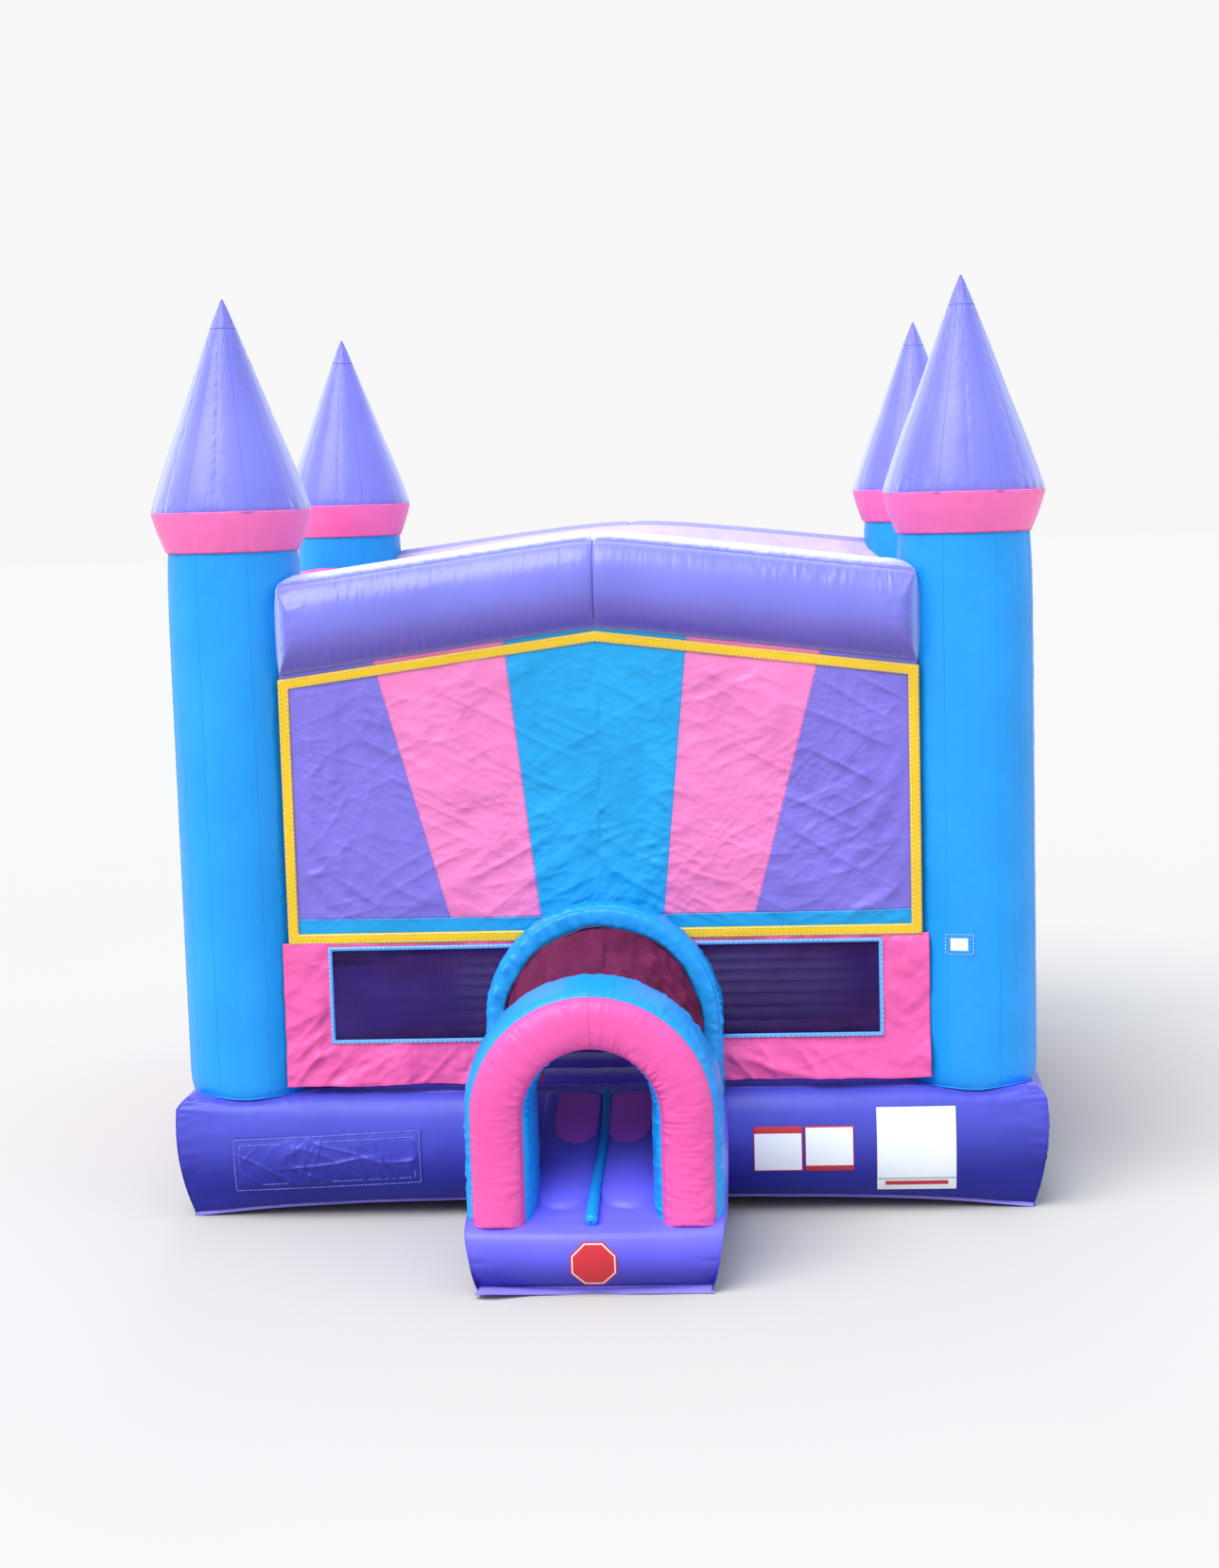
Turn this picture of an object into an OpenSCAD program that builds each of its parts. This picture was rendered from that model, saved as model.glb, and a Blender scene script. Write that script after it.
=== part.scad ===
// Castle bounce house: inflated base, four turreted columns, netted walls, a crawl-in ramp
// tunnel and the blower that keeps it up. Millimetres, +Z up, +Y to the rear.
// The origin is on the ground under the middle of the square base.

/* [Base] */
// Width and depth of the inflated base at its fullest
base_w = 3960; // [3900:10:4020]
// Height of the bounce floor above the ground
base_h = 560; // [540:5:580]
// How far the base side swells past its bottom edge
base_swell = 65; // [40:5:80]
// Thickness that stands for the coated fabric skin
skin = 2.5; // [2:0.5:4]

/* [Towers] */
// Distance of each column axis from the middle, in X and in Y
tower_c = 1650; // [1640:5:1655]
// Column radius
column_r = 300; // [295:1:305]
// Height of the column top
column_top = 3030; // [3000:10:3060]
// Height of the flared collar
collar_h = 178; // [150:2:200]
// Radius at the top of the collar
collar_r = 362; // [340:2:380]
// Height of the pointed roof of a turret
spire_h = 945; // [850:5:1000]

/* [Beams and roof] */
// Cross-section of an inflated beam, across and up
beam_size = 440; // [420:5:450]
// Height of the underside of a beam at the columns
beam_low = 2455; // [2440:5:2470]
// Rise of the gable from a column to the middle
gable_rise = 185; // [150:5:200]

/* [Front wall] */
// Half width of the banner frame
frame_hw = 1425; // [1400:5:1430]
// Height of the bottom edge of the banner frame
frame_low = 1252; // [1240:2:1260]
// Width of the frame's band
frame_band = 46; // [35:1:55]
// Half width of the lower wall panel
panel_hw = 1450; // [1440:5:1456]
// Outer edge of a front window, from the middle
window_out = 1240; // [1200:5:1280]
// Radius round the doorway's curve at which the front windows start, behind the doorway arch
window_in = 480; // [460:5:490]
// Sill height of a front window
window_low = 800; // [760:5:820]
// Head height of a front window
window_high = 1228; // [1200:2:1230]

/* [Entrance] */
// How far in front of the middle the ramp starts
ramp_front = 3090; // [3040:10:3120]
// Height of the ramp at its front edge
ramp_low = 270; // [250:5:290]
// Half width of the tunnel's opening
tunnel_hw = 285; // [250:5:290]
// Outer radius of the two arches
arch_r = 515; // [500:5:520]
// Height of the centre of the entrance arch's curve
arch_cz = 717; // [700:1:730]
// Height of the centre of the doorway arch's curve
door_cz = 905; // [890:5:920]

/* [Blower] */
// Distance of the blower from the middle, in X
blower_x = 1100; // [900:10:1200]
// Radius of the blower's outlet nozzle
nozzle_r = 104; // [98:1:108]
// Radius of the inflation sleeve
sleeve_r = 146; // [136:2:150]

/* [Hidden] */
$fn = 96;
gap = 0.4;
half = base_w / 2;
swell_z = 380;
shoulder_z = 500;
shoulder_in = 40;
baffle_pitch = 330;
baffle_hw = 1880;
wall_y = 1885;
beam_c = half - 30 - beam_size / 2;
beam_end = 1420;
beam_corner = 110;
gable_slope = atan(gable_rise / beam_end);
beam_top = beam_low + beam_size;
side_beam_h = beam_size - 40;
wall_t = skin;
binding = 22;
sash_high = 1367;
stripe_z = 2530;
stripe_top = [1004, 400];
stripe_low = [686, 277];
wall_low = base_h + 1;
wall_high = beam_low - 1;
side_window = [1120, 980, 2260];
ramp_back = 1925;
ramp_swell_z = 310;
ramp_hw = 565;
ramp_swell = 65;
ramp_slope = atan((base_h - ramp_low) / (ramp_front - 40 - ramp_back));
arch_front = 3000;
arch_depth = 400;
door_front = 2035;
face_r = arch_r - 15;
divider_r = 32;
nozzle_end = 2540;
nozzle_fit = 1;
duct_y = 2660;
duct_low = 52;
duct_high = 276;
nozzle_z = (duct_low + duct_high) / 2;
neck_r = nozzle_r + nozzle_fit + skin;
scroll_y = 2885;
scroll_z = 215;
scroll_r = 190;
scroll_hw = 120;
shell_t = 4;
intake_r = 88;
shaft_r = 8;
motor_flange = 5;
impeller_r = 128;
impeller_w = 100;
box_x = blower_x - 40;
box_w = 80;
box_d = 92;
box_h = 102;
rocker_y = duct_y + 44;
rocker_z = duct_high + gap + box_h - 6.5;
ring_r = 25;
ring_wire = 4;
ring_z = 78;
ring_y = 1500;
vent_x = -1250;
vent_w = 520;
vent_z = 290;
vent_skin_y = base_hw(vent_z);
teeth_y = vent_skin_y + 5;
flap_top = vent_z + 95;
flap_y = half + 18;
flap_len = 170;
knuckle_r = 4;

PURPLE = "#6f5bd6";
PINK = "#ff6fb5";
BLUE = "#1f9bf5";
YELLOW = "#f6d22c";
NET = "#3b2352";

// ---- shared shapes ----

// Half width of the base at height z
function base_hw(z) = half - base_swell * pow((z - swell_z) / swell_z, 2)
    - (z > shoulder_z ? shoulder_in * pow((z - shoulder_z) / (base_h - shoulder_z), 2) : 0);

// Half width of the ramp at height z
function ramp_hw_at(z) = ramp_hw - ramp_swell * pow((z - ramp_swell_z) / ramp_swell_z, 2);

// Closed outline whose half width at height z is given by a list, mirrored about the middle
function mirrored(zs, ws) = concat(
    [for (i = [0 : len(zs) - 1]) [ws[i], zs[i]]],
    [for (i = [len(zs) - 1 : -1 : 0]) [-ws[i], zs[i]]]);

// Heights at which a swelling side is sampled, drawn in by an inset at both ends
function levels(inset, top) = [for (f = [0 : 0.125 : 1]) inset + f * (top - 2 * inset)];

// Upright sheet in a plane of constant Y whose outer side is at y
module sheet_xz(y, t = wall_t) {
    translate([0, y + t, 0]) rotate([90, 0, 0]) linear_extrude(t) children();
}

// Puts a copy at each of the four towers
module at_tower(sx, sy) {
    translate([sx * tower_c, sy * tower_c, 0]) children();
}

module rounded_rect(w, h, r) {
    square([w - 2 * r, h], center = true);
    square([w, h - 2 * r], center = true);
    for (sx = [-1, 1], sy = [-1, 1])
        translate([sx * (w / 2 - r), sy * (h / 2 - r)]) circle(r);
}

module all_columns(grow = 0) {
    for (sx = [-1, 1], sy = [-1, 1])
        at_tower(sx, sy) translate([0, 0, base_h - 1]) cylinder(r = column_r + grow, h = column_top);
}

// Solid shape of the base, drawn in on every side by an inset
module base_form(inset = 0) {
    zs = levels(inset, base_h);
    outline = mirrored(zs, [for (z = zs) base_hw(z) - inset]);
    intersection() {
        rotate([90, 0, 0]) linear_extrude(base_w + 50, center = true) polygon(outline);
        rotate([90, 0, 90]) linear_extrude(base_w + 50, center = true) polygon(outline);
    }
}

// A hollow upright drum with different radii at its two ends
module hollow_drum(z, h, r1, r2) {
    translate([0, 0, z]) difference() {
        cylinder(r1 = r1, r2 = r2, h = h);
        translate([0, 0, skin]) cylinder(r1 = r1 - skin, r2 = max(r2 - skin, 1), h = h - 2 * skin);
    }
}

// Half of a gabled beam running out along +X from the middle, drawn in by an inset
module beam_half(inset) {
    size = beam_size - 2 * inset;
    intersection() {
        translate([0, 0, beam_low + gable_rise + beam_size / 2]) rotate([0, 90 + gable_slope, 0])
            translate([0, 0, -200]) linear_extrude(2200)
                rounded_rect(size * cos(gable_slope), size, beam_corner - inset);
        translate([0, -1000, 0]) cube([beam_end - inset, 2000, 4000]);
    }
}

module gabled_beam_form(inset) {
    beam_half(inset);
    mirror([1, 0, 0]) beam_half(inset);
}

// ---- base and towers ----

module base_chamber() {
    color(PURPLE) difference() {
        base_form();
        base_form(skin);
    }
}

// Sheets that tie the floor to the underside, with holes that let the air through
module floor_baffles() {
    color(PURPLE) for (i = [-5 : 5])
        translate([0, i * baffle_pitch, 0]) rotate([90, 0, 0]) linear_extrude(1.5, center = true)
            difference() {
                translate([-baffle_hw, skin]) square([2 * baffle_hw, base_h - 2 * skin]);
                for (x = [-1200, 0, 1200]) translate([x, base_h / 2]) circle(90);
            }
}

module column(sx, sy) {
    color(BLUE) at_tower(sx, sy)
        hollow_drum(base_h, column_top - base_h, column_r, column_r);
}

module turret_collars() {
    color(PINK) for (sx = [-1, 1], sy = [-1, 1])
        at_tower(sx, sy) hollow_drum(column_top, collar_h, column_r + 8, collar_r);
}

module spire(sx, sy) {
    color(PURPLE) at_tower(sx, sy)
        hollow_drum(column_top + collar_h, spire_h, collar_r, 8);
}

// ---- beams and roof ----

module gabled_beam(side) {
    color(PURPLE) difference() {
        translate([0, side * beam_c, 0]) difference() {
            gabled_beam_form(0);
            gabled_beam_form(skin);
        }
        all_columns(gap);
    }
}

module side_beam(side) {
    color(PINK) difference() {
        translate([side * beam_c, 0, beam_low + side_beam_h / 2]) rotate([90, 0, 0]) difference() {
            linear_extrude(2 * beam_end, center = true)
                rounded_rect(beam_size, side_beam_h, beam_corner);
            linear_extrude(2 * (beam_end - skin), center = true)
                rounded_rect(beam_size - 2 * skin, side_beam_h - 2 * skin, beam_corner - skin);
        }
        all_columns(gap);
        for (s = [-1, 1]) translate([0, s * beam_c, 0]) gabled_beam_form(-gap);
    }
}

// Rain cover laced over the tops of the four beams
module roof_cover() {
    ridge = beam_top + gable_rise + 3;
    function roof_z(x) = ridge - abs(x) * gable_rise / beam_end;
    reach = beam_c - 5;
    color(PINK) difference() {
        rotate([90, 0, 0]) linear_extrude(2 * reach, center = true)
            polygon([[-reach, roof_z(reach)], [0, ridge], [reach, roof_z(reach)],
                     [reach, roof_z(reach) + skin], [0, ridge + skin], [-reach, roof_z(reach) + skin]]);
        all_columns(4);
    }
}

// ---- front wall ----

// Gable-topped outline of the banner, drawn in by an inset
module banner_outline(inset) {
    hw = frame_hw - inset;
    low = frame_low + inset;
    rise = gable_rise / beam_end;
    peak = beam_low + gable_rise - 4 - inset;
    polygon([[-hw, low], [hw, low], [hw, peak - rise * hw], [0, peak], [-hw, peak - rise * hw]]);
}

// Fan stripe between two edges, each given by its place at stripe_z and at the sash
module fan_stripe(top_a, low_a, top_b, low_b) {
    above = beam_low + gable_rise + 60;
    function out(top, low) = low + (top - low) * (above - sash_high) / (stripe_z - sash_high);
    polygon([[low_a, sash_high], [low_b, sash_high], [out(top_b, low_b), above], [out(top_a, low_a), above]]);
}

module banner_sheet() {
    sheet_xz(-wall_y) intersection() {
        banner_outline(4);
        children();
    }
}

module banner_purple_panels() {
    edge = frame_hw + 200;
    color(PURPLE) banner_sheet() for (s = [0, 1])
        mirror([s, 0]) fan_stripe(stripe_top[0], stripe_low[0], edge, edge);
}

module banner_pink_panels() {
    color(PINK) banner_sheet() for (s = [0, 1])
        mirror([s, 0]) fan_stripe(stripe_top[1], stripe_low[1], stripe_top[0], stripe_low[0]);
}

module banner_blue_panels() {
    color(BLUE) banner_sheet() {
        fan_stripe(-stripe_top[1], -stripe_low[1], stripe_top[1], stripe_low[1]);
        translate([-2000, 0]) square([4000, sash_high]);
    }
}

module banner_frame() {
    color(YELLOW) sheet_xz(-wall_y - wall_t - gap) difference() {
        banner_outline(0);
        banner_outline(frame_band);
    }
}

// Arched outline of the way through the wall
module way_in(r, cz, low) {
    intersection() {
        translate([0, cz]) circle(r);
        translate([-r, cz]) square([2 * r, r]);
    }
    translate([-r, low]) square([2 * r, cz - low]);
}

// The two windows of the front wall, each with its inner end behind the doorway arch
module front_windows(grow = 0) {
    difference() {
        translate([-window_out - grow, window_low - grow])
            square([2 * (window_out + grow), window_high - window_low + 2 * grow]);
        way_in(window_in - grow, door_cz, wall_low);
    }
}

module wall_front_lower() {
    color(PINK) sheet_xz(-wall_y) difference() {
        translate([-panel_hw, wall_low]) square([2 * panel_hw, frame_low - wall_low]);
        front_windows();
        way_in(tunnel_hw, door_cz, wall_low - 1);
    }
}

// ---- side and rear walls ----

module side_window_outline(grow = 0) {
    translate([-side_window[0] - grow, side_window[1] - grow])
        square([2 * (side_window[0] + grow), side_window[2] - side_window[1] + 2 * grow]);
}

// Places a front-facing sheet on the left (-90), right (90) or rear (180) wall
module netted_wall(turn, high) {
    color(PINK) rotate([0, 0, turn]) sheet_xz(-wall_y) difference() {
        polygon([[-panel_hw, wall_low], [panel_hw, wall_low], [panel_hw, high[0]],
                 [0, high[1]], [-panel_hw, high[0]]]);
        side_window_outline();
    }
}

// Top edges of the walls: at the columns and in the middle
flat_top = [wall_high, wall_high];
gable_top = [beam_low - 8, beam_low + gable_rise - 4];

module window_nets() {
    color(NET) {
        sheet_xz(-wall_y) front_windows(-gap);
        for (turn = [-90, 90, 180])
            rotate([0, 0, turn]) sheet_xz(-wall_y) side_window_outline(-gap);
    }
}

// Narrow woven tape round every window, on the outside
module window_bindings() {
    color(BLUE) {
        sheet_xz(-wall_y - wall_t - gap) difference() {
            front_windows(binding / 2);
            front_windows(-binding / 2);
        }
        for (turn = [-90, 90, 180]) rotate([0, 0, turn]) sheet_xz(-wall_y - wall_t - gap) difference() {
            side_window_outline(binding / 2);
            side_window_outline(-binding / 2);
        }
    }
}

// ---- entrance ----

// Solid shape of the ramp, drawn in on every side by an inset
module ramp_form(inset = 0) {
    top_front = ramp_front - 40;
    zs = levels(inset, base_h);
    intersection() {
        rotate([90, 0, 90]) linear_extrude(1400, center = true) polygon([
            [-top_front + inset, inset], [-ramp_front + 6 + inset, 60],
            [-ramp_front + inset, 130], [-ramp_front + 10 + inset, 210],
            [-top_front + inset, ramp_low - inset], [-ramp_back, base_h - inset],
            [-1800, base_h - inset], [-1800, inset]]);
        rotate([90, 0, 0]) linear_extrude(8000, center = true)
            polygon(mirrored(zs, [for (z = zs) ramp_hw_at(z) - inset]));
    }
}

module ramp_chamber() {
    color(PURPLE) difference() {
        ramp_form();
        difference() {
            ramp_form(skin);
            base_form(-skin);
        }
        base_form(-gap);
    }
}

// Moves to the front edge of the ramp and tilts up along it, with +Y up the slope
module on_ramp() {
    translate([0, -ramp_front + 40, ramp_low]) rotate([ramp_slope, 0, 0]) children();
}

ramp_length = (ramp_front - 40 - ramp_back) / cos(ramp_slope);

// Slim tube that parts the two lanes, from the front edge to the bounce floor
module ramp_divider() {
    color(BLUE) on_ramp() translate([0, 12, divider_r + gap]) rotate([-90, 0, 0]) difference() {
        cylinder(r = divider_r, h = ramp_length - 30);
        translate([0, 0, skin]) cylinder(r = divider_r - skin, h = ramp_length - 30 - 2 * skin);
    }
}

module arch_outline(r_out, r_in, cz, low) {
    difference() {
        way_in(r_out, cz, low);
        way_in(r_in, cz, low - 1);
    }
}

// Open-fronted fabric channel of an arch; its face closes it
module arch_channel(y, depth, cz, low) {
    difference() {
        sheet_xz(y, depth) arch_outline(arch_r, tunnel_hw, cz, low);
        sheet_xz(y - 1, depth - skin + 1)
            arch_outline(arch_r - skin, tunnel_hw + skin, cz, low - 2);
    }
}

module entrance_arch_band() {
    color(BLUE) difference() {
        arch_channel(-arch_front, arch_depth, arch_cz, ramp_low);
        ramp_form(-gap);
    }
}

module entrance_arch_face() {
    color(PINK) difference() {
        sheet_xz(-arch_front - skin - gap, skin) arch_outline(face_r, tunnel_hw + 4, arch_cz, ramp_low);
        ramp_form(-gap);
    }
}

module doorway_arch_band() {
    color(BLUE) arch_channel(-door_front, door_front - wall_y - 12, door_cz, base_h + 4);
}

module doorway_arch_face() {
    color(BLUE) sheet_xz(-door_front - skin - gap, skin)
        arch_outline(face_r, tunnel_hw + 4, door_cz, base_h + 4);
}

// Net that closes the tunnel between its two arches
net_turns = 16;
net_front = [-arch_front + arch_depth + 3, 485, arch_cz, 395];
net_rear = [-door_front - 8, 440, door_cz - 10, 545];

function net_point(at, t, inset) =
    let (r = at[1] - inset)
    t < 0 ? [-r, at[0], at[3]] :
    t > net_turns ? [r, at[0], at[3]] :
    [-r * cos(180 * t / net_turns), at[0], at[2] + r * sin(180 * t / net_turns)];

module tunnel_net() {
    n = net_turns + 3;
    function row(at, inset) = [for (t = [-1 : net_turns + 1]) net_point(at, t, inset)];
    points = concat(row(net_front, 0), row(net_rear, 0), row(net_front, skin), row(net_rear, skin));
    last = n - 1;
    faces = concat(
        [for (i = [0 : last - 1]) each [[i, n + i, n + i + 1], [i, n + i + 1, i + 1]]],
        [for (i = [0 : last - 1]) each [[2 * n + i, 3 * n + i + 1, 3 * n + i], [2 * n + i, 2 * n + i + 1, 3 * n + i + 1]]],
        [for (i = [0 : last - 1]) each [[i, i + 1, 2 * n + i + 1], [i, 2 * n + i + 1, 2 * n + i]]],
        [for (i = [0 : last - 1]) each [[n + i, 3 * n + i + 1, n + i + 1], [n + i, 3 * n + i, 3 * n + i + 1]]],
        [[0, 2 * n, n], [n, 2 * n, 3 * n], [last, n + last, 2 * n + last], [n + last, 3 * n + last, 2 * n + last]]);
    color(NET) polyhedron(points, faces);
}

// ---- sewn-on patches ----

// Thin layer of the base's front skin inside an upright outline
module on_base_front(t) {
    intersection() {
        difference() {
            base_form(-gap - t);
            base_form(-gap);
        }
        translate([0, -half + 200, 0]) rotate([90, 0, 0]) linear_extrude(400) children();
    }
}

// Rectangle given by the X and Z of its middle and by its size
module patch(place, size) {
    translate(place - size / 2) square(size);
}

// Two instruction panels and a rules panel on the base, and an eight-sided one on the ramp
label_t = 1.5;
guide_size = [215, 175];
rules_size = [345, 370];
stop_r = 105;
stop_z = 140;

module label_patches() {
    color("white") {
        on_base_front(label_t) {
            patch([770, 325], guide_size);
            patch([1000, 325], guide_size);
            patch([1385, 300], rules_size);
        }
        intersection() {
            difference() {
                ramp_form(-gap - label_t);
                ramp_form(-gap);
            }
            translate([0, -ramp_front + 30, stop_z]) rotate([90, 22.5, 0])
                cylinder(r = stop_r, h = 60, $fn = 8);
        }
    }
}

// Sewn rectangle of slack fabric on the left of the base front
module sign_pocket() {
    color(PURPLE) on_base_front(2) patch([-1270, 282], [850, 245]);
}

// Small clear pocket on the front right column
module tag_pocket() {
    pocket_t = 2;
    pocket_z = 1165;
    color("white") at_tower(1, -1) intersection() {
        difference() {
            cylinder(r = column_r + gap + pocket_t, h = column_top);
            cylinder(r = column_r + gap, h = column_top);
        }
        translate([-120, -400, pocket_z]) cube([110, 400, 85]);
    }
}

// ---- inflation sleeve ----

sleeve_start = half - 60;
sleeve_straight = 520;
sleeve_taper = 180;
sleeve_neck = 31;

// Sleeve from inside the base's rear to the blower's nozzle, drawn in by an inset
module sleeve_form(inset) {
    translate([blower_x, sleeve_start, nozzle_z]) rotate([-90, 0, 0]) rotate_extrude()
        polygon([[0, 0], [sleeve_r - inset, 0], [sleeve_r - inset, sleeve_straight],
                 [neck_r - inset, sleeve_straight + sleeve_taper],
                 [neck_r - inset, sleeve_straight + sleeve_taper + sleeve_neck],
                 [0, sleeve_straight + sleeve_taper + sleeve_neck]]);
}

module inflation_sleeve() {
    color(PURPLE) difference() {
        sleeve_form(0);
        sleeve_form(skin);
        base_form(-gap);
    }
}

// Webbing strap that clamps the sleeve on the nozzle, with its cam buckle on top
module sleeve_strap() {
    strap_w = 24;
    strap_t = 2;
    r = neck_r + gap;
    start = sleeve_start + sleeve_straight + sleeve_taper + 5;
    color("dimgray") translate([blower_x, start, nozzle_z]) rotate([-90, 0, 0]) {
        difference() {
            cylinder(r = r + strap_t, h = strap_w);
            translate([0, 0, -1]) cylinder(r = r, h = strap_w + 2);
        }
        translate([-22, -r - 16, -3]) cube([44, 14.5, 30]);
    }
}

// ---- deflation vent on the rear of the base ----

module on_base_rear(t, lift = 0) {
    rotate([0, 0, 180]) intersection() {
        difference() {
            base_form(-gap - lift - t);
            base_form(-gap - lift);
        }
        translate([0, -half + 200, 0]) rotate([90, 0, 0]) linear_extrude(400) children();
    }
}

// Zipper tape sewn over the slit, its row of teeth, and the hem that holds the flap
module vent_zipper() {
    color("#30304a") {
        on_base_rear(1.5) patch([-vent_x, vent_z], [vent_w, 60]);
        translate([vent_x - vent_w / 2 + 20, teeth_y - 4, vent_z - 4]) cube([vent_w - 40, 4, 8]);
        difference() {
            translate([vent_x - vent_w / 2, half - 40, flap_top + knuckle_r + gap])
                cube([vent_w, flap_y - half + 40, 3]);
            base_form(-gap);
        }
    }
}

module vent_slider() {
    color("silver") translate([vent_x + vent_w / 2 - 55, teeth_y + gap, vent_z]) {
        translate([-12, 0, -8]) cube([24, 6, 16]);
        translate([-5, 5.5, -34]) cube([10, 2.5, 42]);
    }
}

// Cover that hangs over the zipper from its sewn top edge
module vent_flap() {
    flap_w = vent_w + 60;
    color(PURPLE) translate([vent_x - flap_w / 2, flap_y, flap_top]) {
        rotate([0, 90, 0]) cylinder(r = knuckle_r, h = flap_w);
        translate([0, -1.5, -flap_len]) cube([flap_w, 3, flap_len - 2]);
    }
}

// ---- anchors ----

ring_axis_x = base_hw(ring_z) + 9;

// Webbing loop sewn low on the base side, which holds a D-ring's straight bar
module anchor_tab() {
    translate([ring_axis_x, 0, ring_z]) rotate([90, 0, 0]) difference() {
        linear_extrude(34, center = true) {
            circle(7);
            translate([-7, 0]) square([14, 7]);
            translate([-7.5, 0]) square([6, 75]);
        }
        cylinder(r = ring_wire + 0.08, h = 40, center = true);
    }
}

module anchor_tabs() {
    color(PURPLE) difference() {
        for (sx = [-1, 1], sy = [-1, 1])
            translate([0, sy * ring_y, 0]) mirror([sx < 0 ? 1 : 0, 0, 0]) anchor_tab();
        base_form(-gap);
    }
}

module d_ring(sx, sy) {
    color("silver") translate([0, sy * ring_y, 0]) mirror([sx < 0 ? 1 : 0, 0, 0])
        translate([ring_axis_x, 0, ring_z]) {
            rotate([90, 0, 0]) cylinder(r = ring_wire, h = 2 * ring_r, center = true);
            for (s = [-1, 1]) translate([0, s * ring_r, 0]) {
                sphere(ring_wire);
                rotate([180, 0, 0]) cylinder(r = ring_wire, h = 10);
            }
            translate([0, 0, -10]) rotate([90, 0, 90]) rotate([0, 0, 180])
                rotate_extrude(angle = 180) translate([ring_r, 0]) circle(ring_wire);
        }
}

// ---- blower ----

module scroll_outline(inset) {
    translate([scroll_y, scroll_z]) circle(scroll_r - inset);
    translate([duct_y + inset, duct_low + inset])
        square([scroll_y - duct_y, duct_high - duct_low - 2 * inset]);
}

// Centres of the through-screws round the rear of the scroll, each along X
module blower_screw_places() {
    for (a = [-70 : 50 : 80]) translate([blower_x, scroll_y, scroll_z]) rotate([a, 0, 0])
        translate([0, scroll_r - 14, 0]) rotate([0, 90, 0]) children();
}

// One half of the moulded scroll housing; the intake or the motor bore is in its side
module blower_shell(side, bore) {
    color("#2b6fd1") difference() {
        translate([blower_x, 0, 0]) mirror([side < 0 ? 1 : 0, 0, 0]) rotate([90, 0, 90]) difference() {
            linear_extrude(scroll_hw) scroll_outline(0);
            translate([0, 0, -1]) linear_extrude(scroll_hw - shell_t + 1) scroll_outline(shell_t);
            translate([scroll_y, scroll_z, 0]) cylinder(r = bore, h = scroll_hw + 10);
        }
        translate([blower_x, duct_y - 10, nozzle_z]) rotate([-90, 0, 0])
            cylinder(r = nozzle_r - shell_t, h = 30);
        blower_screw_places() cylinder(r = 2.6, h = 3 * scroll_hw, center = true);
    }
}

module blower_nozzle() {
    flange_t = 6;
    color("#2b6fd1") translate([blower_x, nozzle_end, nozzle_z]) rotate([-90, 0, 0]) difference() {
        union() {
            cylinder(r = nozzle_r, h = duct_y - nozzle_end);
            translate([0, 0, duct_y - nozzle_end - flange_t]) cylinder(r = nozzle_r + 8, h = flange_t);
        }
        translate([0, 0, -1]) cylinder(r = nozzle_r - shell_t, h = 200);
    }
}

module blower_intake_grille() {
    ring_w = 5;
    color("#22252b") translate([blower_x - scroll_hw, scroll_y, scroll_z]) rotate([0, -90, 0]) {
        for (r = [18 : 16 : 98]) difference() {
            cylinder(r = r, h = 5);
            translate([0, 0, -1]) cylinder(r = r - ring_w, h = 7);
        }
        for (a = [0 : 45 : 135]) rotate([0, 0, a]) translate([-97, -2.5, 0]) cube([194, 5, 4]);
    }
}

// Squirrel-cage wheel: a back plate, a front ring, blades between them and a hub
module blower_impeller() {
    plate = 4;
    color("#c9ccd2") translate([blower_x + impeller_w / 2, scroll_y, scroll_z]) rotate([0, -90, 0])
        difference() {
            union() {
                cylinder(r = impeller_r, h = plate);
                translate([0, 0, plate - 1]) cylinder(r = 22, h = 34);
                translate([0, 0, impeller_w - plate]) difference() {
                    cylinder(r = impeller_r, h = plate);
                    translate([0, 0, -1]) cylinder(r = impeller_r - 30, h = plate + 2);
                }
                for (a = [0 : 15 : 345]) rotate([0, 0, a]) translate([impeller_r - 29, -1.5, 2])
                    rotate([0, 0, 18]) cube([26, 2.5, impeller_w - plate]);
            }
            translate([0, 0, -1]) cylinder(r = shaft_r + 0.05, h = 60);
        }
}

module blower_shaft() {
    color("silver") translate([blower_x + 12, scroll_y, scroll_z]) rotate([0, 90, 0])
        cylinder(r = shaft_r, h = scroll_hw + 4);
}

module blower_motor() {
    color("#4a4e57") translate([blower_x + scroll_hw, scroll_y, scroll_z]) rotate([0, 90, 0])
        difference() {
            union() {
                cylinder(r = 62, h = 92);
                cylinder(r = 84, h = motor_flange);
            }
            translate([0, 0, -1]) cylinder(r = shaft_r + 0.1, h = 40);
        }
}

module blower_motor_cover() {
    deep = 106;
    color("#22252b") translate([blower_x + scroll_hw + motor_flange, scroll_y, scroll_z])
        rotate([0, 90, 0]) difference() {
            cylinder(r = 80, h = deep);
            translate([0, 0, -1]) cylinder(r = 76, h = deep - 3);
            for (a = [0 : 30 : 330]) rotate([0, 0, a]) translate([30, -4, deep - 16]) cube([38, 8, 30]);
        }
}

module blower_handle() {
    z = scroll_z + scroll_r;
    color("#22252b") translate([blower_x, scroll_y, 0]) {
        for (s = [-1, 1]) difference() {
            translate([-15, s * 70 - 12, z - 30]) cube([30, 24, 70]);
            translate([0, 0, scroll_z]) rotate([0, 90, 0])
                cylinder(r = scroll_r + gap, h = 100, center = true);
        }
        translate([0, -95, z + 50]) rotate([-90, 0, 0]) cylinder(r = 16, h = 190);
    }
}

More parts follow.
